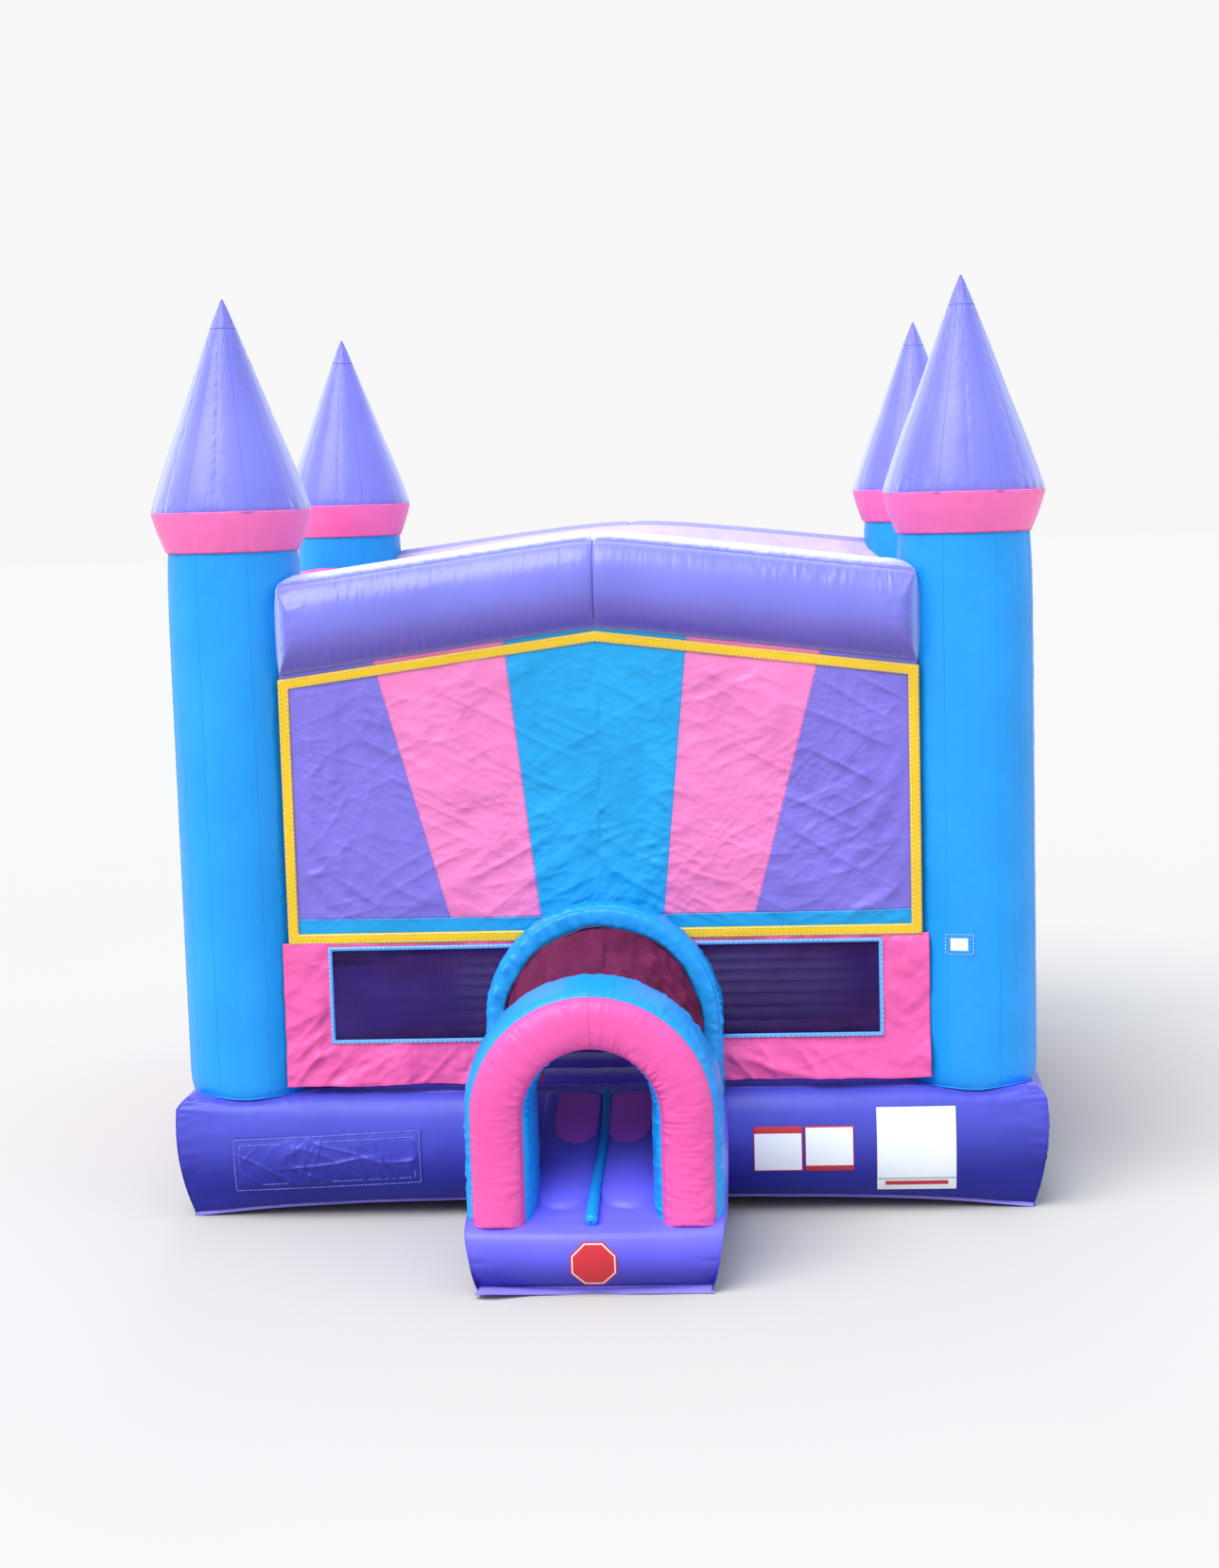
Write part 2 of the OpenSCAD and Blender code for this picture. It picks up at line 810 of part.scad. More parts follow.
module blower_feet() {
    color("#22252b") difference() {
        for (sx = [-1, 1], y = [duct_y + 40, scroll_y + 90])
            translate([blower_x + sx * 85, y, 0]) cylinder(r1 = 20, r2 = 24, h = 110);
        translate([blower_x - 200, 0, 0]) rotate([90, 0, 90]) linear_extrude(400) scroll_outline(-gap);
    }
}

// Box on top of the duct, with the well that the power switch sits in
module blower_switch_box() {
    color("#22252b") difference() {
        translate([box_x - box_w / 2, duct_y + 10, duct_high + gap]) cube([box_w, box_d, box_h]);
        translate([0, scroll_y, scroll_z]) rotate([0, 90, 0])
            cylinder(r = scroll_r + gap, h = 3000);
        translate([box_x - 13, rocker_y - 18, rocker_z - 6]) cube([26, 36, 30]);
        translate([box_x - 22, rocker_y, rocker_z]) rotate([0, 90, 0]) cylinder(r = 2.05, h = 44);
    }
}

// Rocker of the power switch, stored in its off position
module blower_rocker() {
    color("#c62828") translate([box_x, rocker_y, rocker_z]) rotate([-10, 0, 0]) {
        rotate([0, 90, 0]) cylinder(r = 2, h = 38, center = true);
        difference() {
            translate([-12, -15, -2]) cube([24, 30, 12]);
            translate([-20, 0, 39]) rotate([0, 90, 0]) cylinder(r = 32, h = 40);
        }
    }
}

// Threaded gland where the mains lead enters the switch box
module blower_cord_gland() {
    color("#101114") translate([box_x - box_w / 2, duct_y + 56, duct_high + 60]) rotate([0, -90, 0])
        difference() {
            union() {
                cylinder(r = 13, h = 8, $fn = 6);
                cylinder(r1 = 11, r2 = 8, h = 24);
            }
            translate([0, 0, -1]) cylinder(r = 4, h = 30);
        }
}

// Through-screws that clamp the two halves of the housing
module blower_screws() {
    head_t = 3.6;
    color("silver") blower_screw_places() {
        cylinder(r = 2.5, h = 2 * scroll_hw + 1, center = true);
        for (s = [-1, 1]) translate([0, 0, s * (scroll_hw + head_t / 2)])
            cylinder(r = 6, h = head_t, center = true);
    }
}

// ---- nodes ----

base_chamber();
floor_baffles();
column(-1, -1);  // column_front_left
column(1, -1);  // column_front_right
column(-1, 1);  // column_rear_left
column(1, 1);  // column_rear_right
turret_collars();
spire(-1, -1);  // spire_front_left
spire(1, -1);  // spire_front_right
spire(-1, 1);  // spire_rear_left
spire(1, 1);  // spire_rear_right
gabled_beam(-1);  // beam_front
gabled_beam(1);  // beam_rear
side_beam(-1);  // beam_left
side_beam(1);  // beam_right
roof_cover();
banner_purple_panels();
banner_pink_panels();
banner_blue_panels();
banner_frame();
wall_front_lower();
netted_wall(-90, flat_top);  // wall_left
netted_wall(90, flat_top);  // wall_right
netted_wall(180, gable_top);  // wall_rear
window_nets();
window_bindings();
ramp_chamber();
ramp_divider();
entrance_arch_face();
entrance_arch_band();
doorway_arch_face();
doorway_arch_band();
tunnel_net();
label_patches();
sign_pocket();
tag_pocket();
inflation_sleeve();
sleeve_strap();
vent_zipper();
vent_slider();
vent_flap();
anchor_tabs();
d_ring(-1, -1);  // d_ring_front_left
d_ring(1, -1);  // d_ring_front_right
d_ring(-1, 1);  // d_ring_rear_left
d_ring(1, 1);  // d_ring_rear_right
blower_shell(-1, intake_r);  // blower_shell_left
blower_shell(1, 14);  // blower_shell_right
blower_nozzle();
blower_intake_grille();
blower_impeller();
blower_shaft();
blower_motor();
blower_motor_cover();
blower_handle();
blower_feet();
blower_switch_box();
blower_rocker();
blower_cord_gland();
blower_screws();
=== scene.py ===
"""Looks of an inflatable castle: pillowed vinyl chambers, draped banner and walls, nets and hardware.

Metres, +Z up, +Y to the rear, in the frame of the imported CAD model. Positions come from the CAD
nodes' boxes; the named values below them are the shapes that a plain CAD solid leaves out.
"""

import math

import bpy
import numpy as np
from mathutils import Matrix, Vector


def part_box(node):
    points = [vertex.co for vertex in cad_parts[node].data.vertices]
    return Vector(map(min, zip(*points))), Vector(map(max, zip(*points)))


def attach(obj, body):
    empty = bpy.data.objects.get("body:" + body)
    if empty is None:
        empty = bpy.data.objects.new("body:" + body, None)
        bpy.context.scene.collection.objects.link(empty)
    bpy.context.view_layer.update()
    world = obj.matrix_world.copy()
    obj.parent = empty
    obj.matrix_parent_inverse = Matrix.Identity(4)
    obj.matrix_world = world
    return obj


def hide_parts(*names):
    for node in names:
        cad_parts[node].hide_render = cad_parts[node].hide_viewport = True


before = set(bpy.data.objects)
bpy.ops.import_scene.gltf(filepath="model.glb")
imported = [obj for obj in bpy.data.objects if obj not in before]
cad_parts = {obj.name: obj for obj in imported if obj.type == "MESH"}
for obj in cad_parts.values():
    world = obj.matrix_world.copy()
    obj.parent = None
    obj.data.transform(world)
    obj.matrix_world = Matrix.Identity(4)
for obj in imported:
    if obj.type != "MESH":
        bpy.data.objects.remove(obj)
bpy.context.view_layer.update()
CASTLE = "castle"


# ---- sizes taken from the frame ----

def low(node):
    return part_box(node)[0]


def high(node):
    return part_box(node)[1]


def middle(node):
    return (low(node) + high(node)) / 2


TOWERS = {
    f"{ny}_{nx}": middle(f"column_{ny}_{nx}")
    for ny in ("front", "rear")
    for nx in ("left", "right")
}
RINGS = [f"d_ring_{name}" for name in TOWERS]
BASE_HALF = high("base_chamber").x
BASE_TOP = high("base_chamber").z
COLUMN_R = (high("column_front_left").x - low("column_front_left").x) / 2
COLUMN_TOP = high("column_front_left").z
COLLAR_TOP = high("turret_collars").z
SPIRE_R = (high("spire_front_left").x - low("spire_front_left").x) / 2
SPIRE_TOP = high("spire_front_left").z
RAMP_FRONT = -low("ramp_chamber").y
WALL_Y = -low("wall_front_lower").y
PANEL_HW = high("wall_front_lower").x
FRAME_HW = high("banner_frame").x
FRAME_LOW = low("banner_frame").z
FRAME_PEAK = high("banner_frame").z
BEAM_END = high("beam_front").x
BEAM_LOW = low("beam_front").z
BEAM_PEAK = high("beam_front").z
BEAM_Y = -middle("beam_front").y
BEAM_SIZE = high("beam_front").y - low("beam_front").y

# ---- shapes that the plain CAD solids leave out ----

GABLE_RISE = BEAM_PEAK - BEAM_LOW - BEAM_SIZE
GABLE_SLOPE = GABLE_RISE / BEAM_END
BEAM_HALF = (0.150, 0.198)
BEAM_PUFFS = (0.090, 0.040, 0.06, 0.012)
SIDE_BEAM_HALF = (0.158, 0.150)
SIDE_BEAM_PUFFS = (0.070, 0.050, 0.060, 0.045)
BASE_SWELL = 0.065
SWELL_Z = 0.40
HEM_LIFT = 0.06
FOOT_Z = 0.012
SIDE_IN = 1.895
SIDE_BULGE = 0.13
TUBE_PITCH = 0.33
BAND = 0.046
SASH_HIGH = 1.367
STRIPE_TOP = (1.004, 0.400)
STRIPE_LOW = (0.686, 0.277)
STRIPE_TOP_Z = 2.53
WINDOW_OUT = 1.240
WINDOW_IN_R = 0.48
WINDOW_Z = (0.80, 1.228)
BINDING = 0.018
SIDE_WINDOW = (1.12, 0.98, 2.26)
RAMP_LOW = 0.270
RAMP_TOP_Y = 1.925
RAMP_EDGE_Y = RAMP_FRONT - 0.04
RAMP_HEAD_Y = RAMP_TOP_Y - 0.06
RAMP_SLOPE = (BASE_TOP - RAMP_LOW) / (RAMP_EDGE_Y - RAMP_TOP_Y)
RAMP_HW, RAMP_FOOT_HW = 0.530, 0.475
LANE_X, LANE_HALF, LANE_END = 0.140, 0.132, 2.775
ARCH_Y = (-3.0, -2.6)
ARCH_R = (0.285, 0.498)
ARCH_CZ = 0.717
ARCH_FOOT = 0.250
DOOR_Y = (-2.035, -1.90)
DOOR_R = (0.420, 0.515)
DOOR_CZ = 0.905
NET_EDGE = (0.432, -2.078)
STOP_Z = 0.137
STOP_HALF = (0.104, 0.100)
GORES = 8
TAG_Z = 1.209
TAG_ANGLE = -math.pi / 2 - 0.215

# Albedo of each vinyl, linear
PURPLE = (0.160, 0.163, 0.620)
PURPLE_LIGHT = (0.27, 0.22, 0.80)
PINK = (0.76, 0.088, 0.350)
BLUE = (0.006, 0.285, 0.760)
YELLOW = (0.77, 0.49, 0.008)
NAVY = (0.012, 0.014, 0.075)
SKY_SHEEN = (0.66, 0.72, 0.90)

# Light
HORIZON = (0.934, 0.934, 0.934)
ZENITH = (1.05, 1.25, 1.50)
FLOOR_COLOUR = (0.524, 0.498, 0.466)


# ---- arithmetic on arrays of points ----

def lattice(cell, seed):
    """A random value from -1 to 1 for each cell."""
    n = cell[..., 0] * 73856093 ^ cell[..., 1] * 19349663 ^ cell[..., 2] * 83492791 ^ seed * 40503
    n = (n ^ (n >> 13)) * 1274126177 & 0x7FFFFFFF
    return ((n ^ (n >> 16)) & 0xFFFF) / 32767.5 - 1


def noise(points, size, seed=0):
    """Smooth value noise from -1 to 1 whose bumps are about size apart; size may be one per axis."""
    p = np.asarray(points, float) / size
    cell = np.floor(p).astype(np.int64)
    f = p - cell
    f = f * f * (3 - 2 * f)
    total = 0
    for corner in np.ndindex(2, 2, 2):
        weight = np.prod(np.where(np.array(corner) == 1, f, 1 - f), axis=-1)
        total = total + weight * lattice(cell + np.array(corner), seed)
    return total


def ripple(x, size, seed):
    """Smooth noise along one axis."""
    return noise(stack(x, 0 * x, 0 * x), size, seed)


def crown(t, fullness=2.4, power=0.6):
    """Height of a pillow across its width t from 0 to 1: 0 at both seams and 1 in the middle."""
    return np.clip(1 - np.abs(2 * t - 1) ** fullness, 0, 1) ** power


def looped(path):
    """A path that ends where it began."""
    return np.concatenate([path, path[:1]])


def stack(*columns):
    return np.stack(np.broadcast_arrays(*columns), axis=-1).astype(float)


def distances(path):
    """How far along a path each of its points is."""
    return np.concatenate([[0], np.cumsum(np.linalg.norm(np.diff(path, axis=0), axis=1))])


def full_turn(n):
    """Angles of n places evenly round a circle."""
    return np.linspace(0, 2 * math.pi, n, endpoint=False)


def around(centre, radius, angle, z):
    """Points at a radius and an angle round an upright axis."""
    return stack(centre.x + radius * np.cos(angle), centre.y + radius * np.sin(angle), z)


def mesh_grid(nu, nv):
    u, v = np.meshgrid(np.linspace(0, 1, nu), np.linspace(0, 1, nv), indexing="ij")
    return u, v


def pucker(along, away, seed, wave=0.045, reach=0.07, depth=0.006):
    """Gathers at a seam: sharp creases across it that fade with the distance away from it."""
    lobe = np.abs(noise(stack(along, away * 0.25, 0 * along), wave, seed)) * 2 - 0.6
    fade = np.exp(-away / reach) * (1 - np.exp(-away / 0.012))
    return depth * lobe * fade * (1 + 0.6 * ripple(along, 0.3, seed + 9))


def crumple(x, z, seed, size=0.2):
    """Height of the sharp slanting wrinkles of cloth that was packed away, from 0 to about 1."""
    total = 0
    flat = stack(x, z, 0 * x)
    layers = ((0.25, 1.0, 1.0), (-0.45, 0.75, 0.9), (0.8, 0.6, 0.6), (0.0, 0.4, 0.5))
    for i, (angle, scale, weight) in enumerate(layers):
        c, s = math.cos(angle), math.sin(angle)
        bent = z * c - x * s + 0.18 * size * noise(flat, 0.22, seed + 20 + i)
        across = stack(x * c + z * s, bent, 0 * x)
        ridge = 1 - np.abs(noise(across, (size * scale * 2.4, size * scale * 0.55, 1), seed + i))
        patch = np.clip(0.55 + 1.1 * noise(flat, 0.33, seed + 40 + i), 0, 1)
        total = total + weight * patch * ridge**5
    return total


def long_folds(x, z, angle, width, seed):
    """Height of long straight folds that rise away from the middle, from 0 to about 1."""
    side = np.abs(x)
    across = z * math.cos(angle) + side * math.sin(angle)
    along = side * math.cos(angle) - z * math.sin(angle)
    ridge = 1 - np.abs(noise(stack(along, across, np.sign(x)), (width * 6, width, 0.4), seed))
    patch = np.clip(0.5 + 1.2 * noise(stack(along, across, np.sign(x)), (0.35, 0.2, 0.4), seed + 1), 0, 1)
    return patch * ridge**4


# ---- meshes ----

def surface(p, wrap_u=False, wrap_v=False, flip=False):
    """Points and quads of a grid of points of shape (n, m, 3)."""
    n, m = p.shape[:2]
    index = np.arange(n * m).reshape(n, m)
    if wrap_u:
        index = np.concatenate([index, index[:1]], axis=0)
    if wrap_v:
        index = np.concatenate([index, index[:, :1]], axis=1)
    quads = np.stack([index[:-1, :-1], index[1:, :-1], index[1:, 1:], index[:-1, 1:]], axis=-1).reshape(-1, 4)
    return p.reshape(-1, 3), quads[:, ::-1] if flip else quads


def joined(parts):
    """Several (points, quads) as one, and the number of the part that each quad came from."""
    points, quads, source, start = [], [], [], 0
    for i, (p, q) in enumerate(parts):
        points.append(p)
        quads.append(np.asarray(q) + start)
        source.append(np.full(len(q), i))
        start += len(p)
    return np.concatenate(points), np.concatenate(quads), np.concatenate(source)


def piece(name, parts, materials, slot, replaces=(), body=CASTLE, part_material=None, smooth=True):
    """Makes one object of (points, quads) parts. part_material gives the material's number for each part."""
    points, quads, source = joined(parts)
    mesh = bpy.data.meshes.new(name)
    mesh.from_pydata(points.tolist(), [], quads.tolist())
    for m in materials:
        mesh.materials.append(m)
    if part_material is not None:
        mesh.polygons.foreach_set("material_index", np.asarray(part_material)[source].astype(np.int32))
    mesh.polygons.foreach_set("use_smooth", np.full(len(quads), smooth))
    mesh.validate()
    mesh.update()
    obj = bpy.data.objects.new(name, mesh)
    bpy.context.scene.collection.objects.link(obj)
    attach(obj, body)
    if replaces:
        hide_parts(*replaces)
    return obj


def inflated(*details, **options):
    """Makes a piece, just as piece does; the castle's air chambers are made with it."""
    made = piece(*details, **options)
    return made


def tube(path, radius, sides=6, closed=False):
    """A tube along a path of points."""
    path = np.asarray(path, float)
    ahead = np.roll(path, -1, 0) - np.roll(path, 1, 0)
    if not closed:
        ahead[0], ahead[-1] = path[1] - path[0], path[-1] - path[-2]
    ahead /= np.maximum(np.linalg.norm(ahead, axis=1, keepdims=True), 1e-12)
    side = np.cross(ahead, np.where(np.abs(ahead[:, 2:]) > 0.9, [[1.0, 0, 0]], [[0, 0, 1.0]]))
    side /= np.linalg.norm(side, axis=1, keepdims=True)
    up = np.cross(side, ahead)
    a = full_turn(sides)
    ring = side[:, None] * np.cos(a)[None, :, None] + up[:, None] * np.sin(a)[None, :, None]
    size = np.broadcast_to(np.asarray(radius, float), (len(path),))
    return surface(path[:, None] + ring * size[:, None, None], wrap_u=closed, wrap_v=True)


def box_part(centre, x_axis, y_axis, z_axis):
    """A box from its centre and its three half-extent vectors."""
    c = np.array(np.meshgrid([-1, 1], [-1, 1], [-1, 1], indexing="ij")).reshape(3, -1).T
    points = np.asarray(centre) + c @ np.array([x_axis, y_axis, z_axis], float)
    quads = [(0, 1, 3, 2), (4, 6, 7, 5), (0, 4, 5, 1), (2, 3, 7, 6), (0, 2, 6, 4), (1, 5, 7, 3)]
    return points, np.array(quads)


def resampled(path, step):
    path = np.asarray(path, float)
    along = distances(path)
    at = np.linspace(0, along[-1], max(2, round(along[-1] / step)))
    return np.stack([np.interp(at, along, path[:, k]) for k in range(3)], axis=1)


def rounded(points, times):
    """An open outline with its corners cut off again and again, so that it becomes a smooth curve."""
    points = np.asarray(points, float)
    for _ in range(times):
        before, after = points[:-1], points[1:]
        cuts = np.stack([0.75 * before + 0.25 * after, 0.25 * before + 0.75 * after], axis=1)
        points = np.concatenate([points[:1], cuts.reshape(-1, points.shape[1]), points[-1:]])
    return points


def stitch_parts(path, outward, length=0.009, pitch=0.015, wide=0.0012):
    """Thread dashes laid along a path on a surface that faces outward."""
    points = resampled(path, pitch)
    outward = np.asarray(outward, float)
    parts = []
    for a, b in zip(points[:-1], points[1:]):
        ahead = (b - a) / max(np.linalg.norm(b - a), 1e-9)
        side = np.cross(ahead, outward)
        parts.append(box_part((a + b) / 2, ahead * length / 2, side * wide, outward * wide * 0.6))
    return parts


# ---- materials ----

def material(name, **values):
    """A new material, its node tree, its shader with these inputs set, and the object's own coordinates."""
    mat = bpy.data.materials.new(name)
    mat.use_nodes = True
    tree = mat.node_tree
    shader = tree.nodes["Principled BSDF"]
    for key, value in values.items():
        shader.inputs[key.replace("_", " ")].default_value = value
    return mat, tree, shader, node(tree, "ShaderNodeTexCoord").outputs["Object"]


def node(tree, kind, *feeds, **values):
    """A node with its first inputs fed by sockets, and its inputs or settings set by name."""
    made = tree.nodes.new(kind)
    for key, value in values.items():
        if key in made.inputs:
            made.inputs[key].default_value = value
        else:
            setattr(made, key, value)
    for socket, feed in zip(made.inputs, feeds):
        tree.links.new(feed, socket)
    return made


def remapped(tree, feed, source, target, **settings):
    """A value whose source range is stretched on to the target range."""
    made = node(tree, "ShaderNodeMapRange", feed, **settings)
    for key, value in zip(("From Min", "From Max", "To Min", "To Max"), (*source, *target)):
        made.inputs[key].default_value = value
    return made.outputs["Result"]


def mixed(tree, share, colour, other, **settings):
    """A colour mixed with another, constant one."""
    made = node(tree, "ShaderNodeMix", share, data_type="RGBA", **settings)
    tree.links.new(colour, made.inputs[6])
    made.inputs[7].default_value = (*other, 1)
    return made.outputs[2]


def varied_colour(tree, coords, colour, amount, size):
    """Colour that drifts lighter and darker over the surface, as coated fabric does."""
    drift = node(tree, "ShaderNodeTexNoise", coords, Scale=1 / size, Detail=4.0)
    ramp = node(tree, "ShaderNodeValToRGB", drift.outputs["Fac"])
    dark, light = ramp.color_ramp.elements
    dark.position, light.position = 0.3, 0.7
    dark.color = [c * (1 - amount) for c in colour] + [1]
    light.color = [min(c * (1 + amount) + 0.006, 1) for c in colour] + [1]
    return ramp.outputs["Color"]


def weave_height(tree, coords, pitch):
    """Height of a plain weave: the sum of three crossing waves."""
    scale = math.pi / pitch / 10
    x, y, z = (node(tree, "ShaderNodeTexWave", coords, Scale=scale, bands_direction=axis).outputs["Fac"]
               for axis in "XYZ")
    both = node(tree, "ShaderNodeMath", x, y, operation="ADD").outputs["Value"]
    return node(tree, "ShaderNodeMath", both, z, operation="ADD").outputs["Value"]


def bumped(tree, shader, *heights):
    """Chains (height socket, strength, distance) bumps into the shader's normal."""
    normal = None
    for height, strength, distance in heights:
        bump = node(tree, "ShaderNodeBump", Strength=strength, Distance=distance)
        tree.links.new(height, bump.inputs["Height"])
        if normal:
            tree.links.new(normal, bump.inputs["Normal"])
        normal = bump.outputs["Normal"]
    tree.links.new(normal, shader.inputs["Normal"])


def vinyl(name, colour, rough=0.36, crumple=0.3, drift=0.07, gloss=0.32, creased=0.0, pale=0.0,
          shade=None, slope=0.0):
    """Coated PVC fabric: satin gloss over a fine scrim, with small crumples and handling scuffs.

    pale is how far its colour is painted towards a pale sky reflection where it is seen edge on. shade =
    (low height, high height, tint) is painted shade: it multiplies the colour by the tint below the low
    height; slope is how much those heights fall per metre out from the middle.
    """
    mat, tree, shader, coords = material(name, Specular_IOR_Level=gloss)
    shown = varied_colour(tree, coords, colour, drift, 0.45)
    # painted shade: the colour is multiplied by the tint below a height that falls with the slope
    if shade:
        place = node(tree, "ShaderNodeSeparateXYZ", coords)
        out = node(tree, "ShaderNodeMath", place.outputs["X"], operation="ABSOLUTE")
        level = node(tree, "ShaderNodeMath", out.outputs[0], operation="MULTIPLY_ADD")
        level.inputs[1].default_value = slope
        tree.links.new(place.outputs["Z"], level.inputs[2])
        share = remapped(tree, level.outputs[0], shade[:2], (1, 0), interpolation_type="SMOOTHSTEP")
        shown = mixed(tree, share, shown, shade[2], blend_type="MULTIPLY")
    # painted sheen: the colour is mixed towards a pale sky reflection where the surface is seen edge on
    if pale:
        facing = node(tree, "ShaderNodeLayerWeight", Blend=0.5).outputs["Facing"]
        share = remapped(tree, facing, (0.25, 0.90), (0, pale), interpolation_type="SMOOTHSTEP")
        shown = mixed(tree, share, shown, SKY_SHEEN)
    tree.links.new(shown, shader.inputs["Base Color"])
    scuffs = node(tree, "ShaderNodeTexNoise", coords, Scale=7.0, Detail=6.0, Roughness=0.7)
    worn = remapped(tree, scuffs.outputs["Fac"], (0, 1), (rough - 0.07, rough + 0.11))
    tree.links.new(worn, shader.inputs["Roughness"])
    wrinkle = node(tree, "ShaderNodeTexNoise", coords, Scale=11.0, Detail=3.0, Distortion=0.8)
    crease = node(tree, "ShaderNodeTexNoise", coords, noise_type="RIDGED_MULTIFRACTAL", Scale=5.0,
                  Detail=2.0, Distortion=0.4)
    bumped(tree, shader, (wrinkle.outputs["Fac"], crumple, 0.005), (crease.outputs["Fac"], creased, 0.004),
           (weave_height(tree, coords, 0.0016), 0.10, 0.0002))
    return mat


def webbing(name, colour):
    """Woven strap with visible ribs."""
    mat, tree, shader, coords = material(name, Roughness=0.8)
    tree.links.new(varied_colour(tree, coords, colour, 0.2, 0.02), shader.inputs["Base Color"])
    bumped(tree, shader, (weave_height(tree, coords, 0.003), 0.6, 0.0008))
    return mat


def net_material(name, colour, cover, pitch=0.006):
    """Open net: twine on a fine square mesh, clear between; cover is how much of the light it stops."""
    mat, tree, shader, coords = material(name, Roughness=0.75, Specular_IOR_Level=0.15)
    tree.links.new(varied_colour(tree, coords, colour, 0.25, 0.12), shader.inputs["Base Color"])
    height = weave_height(tree, coords, pitch)
    solid = remapped(tree, height, (0.6, 2.2), (cover - 0.22, cover + 0.22))
    tree.links.new(solid, shader.inputs["Alpha"])
    bumped(tree, shader, (height, 0.5, 0.001))
    return mat


def plastic(name, colour, rough=0.45, grain=0.25):
    """Moulded plastic with a fine grain and scuffed edges."""
    mat, tree, shader, coords = material(name)
    tree.links.new(varied_colour(tree, coords, colour, 0.12, 0.08), shader.inputs["Base Color"])
    speck = node(tree, "ShaderNodeTexNoise", coords, Scale=420.0, Detail=2.0)
    dust = node(tree, "ShaderNodeTexNoise", coords, Scale=14.0, Detail=5.0)
    worn = remapped(tree, dust.outputs["Fac"], (0, 1), (rough - 0.1, rough + 0.15))
    tree.links.new(worn, shader.inputs["Roughness"])
    bumped(tree, shader, (speck.outputs["Fac"], grain, 0.0006))
    return mat


def metal(name, colour, rough=0.32):
    """Plated or pressed metal with fine scratches and dulled patches."""
    mat, tree, shader, coords = material(name, Metallic=1.0)
    tree.links.new(varied_colour(tree, coords, colour, 0.15, 0.015), shader.inputs["Base Color"])
    scratch = node(tree, "ShaderNodeTexNoise", coords, Scale=90.0, Detail=6.0, Distortion=2.0)
    worn = remapped(tree, scratch.outputs["Fac"], (0, 1), (rough - 0.1, rough + 0.18))
    tree.links.new(worn, shader.inputs["Roughness"])
    bumped(tree, shader, (scratch.outputs["Fac"], 0.12, 0.0004))
    return mat


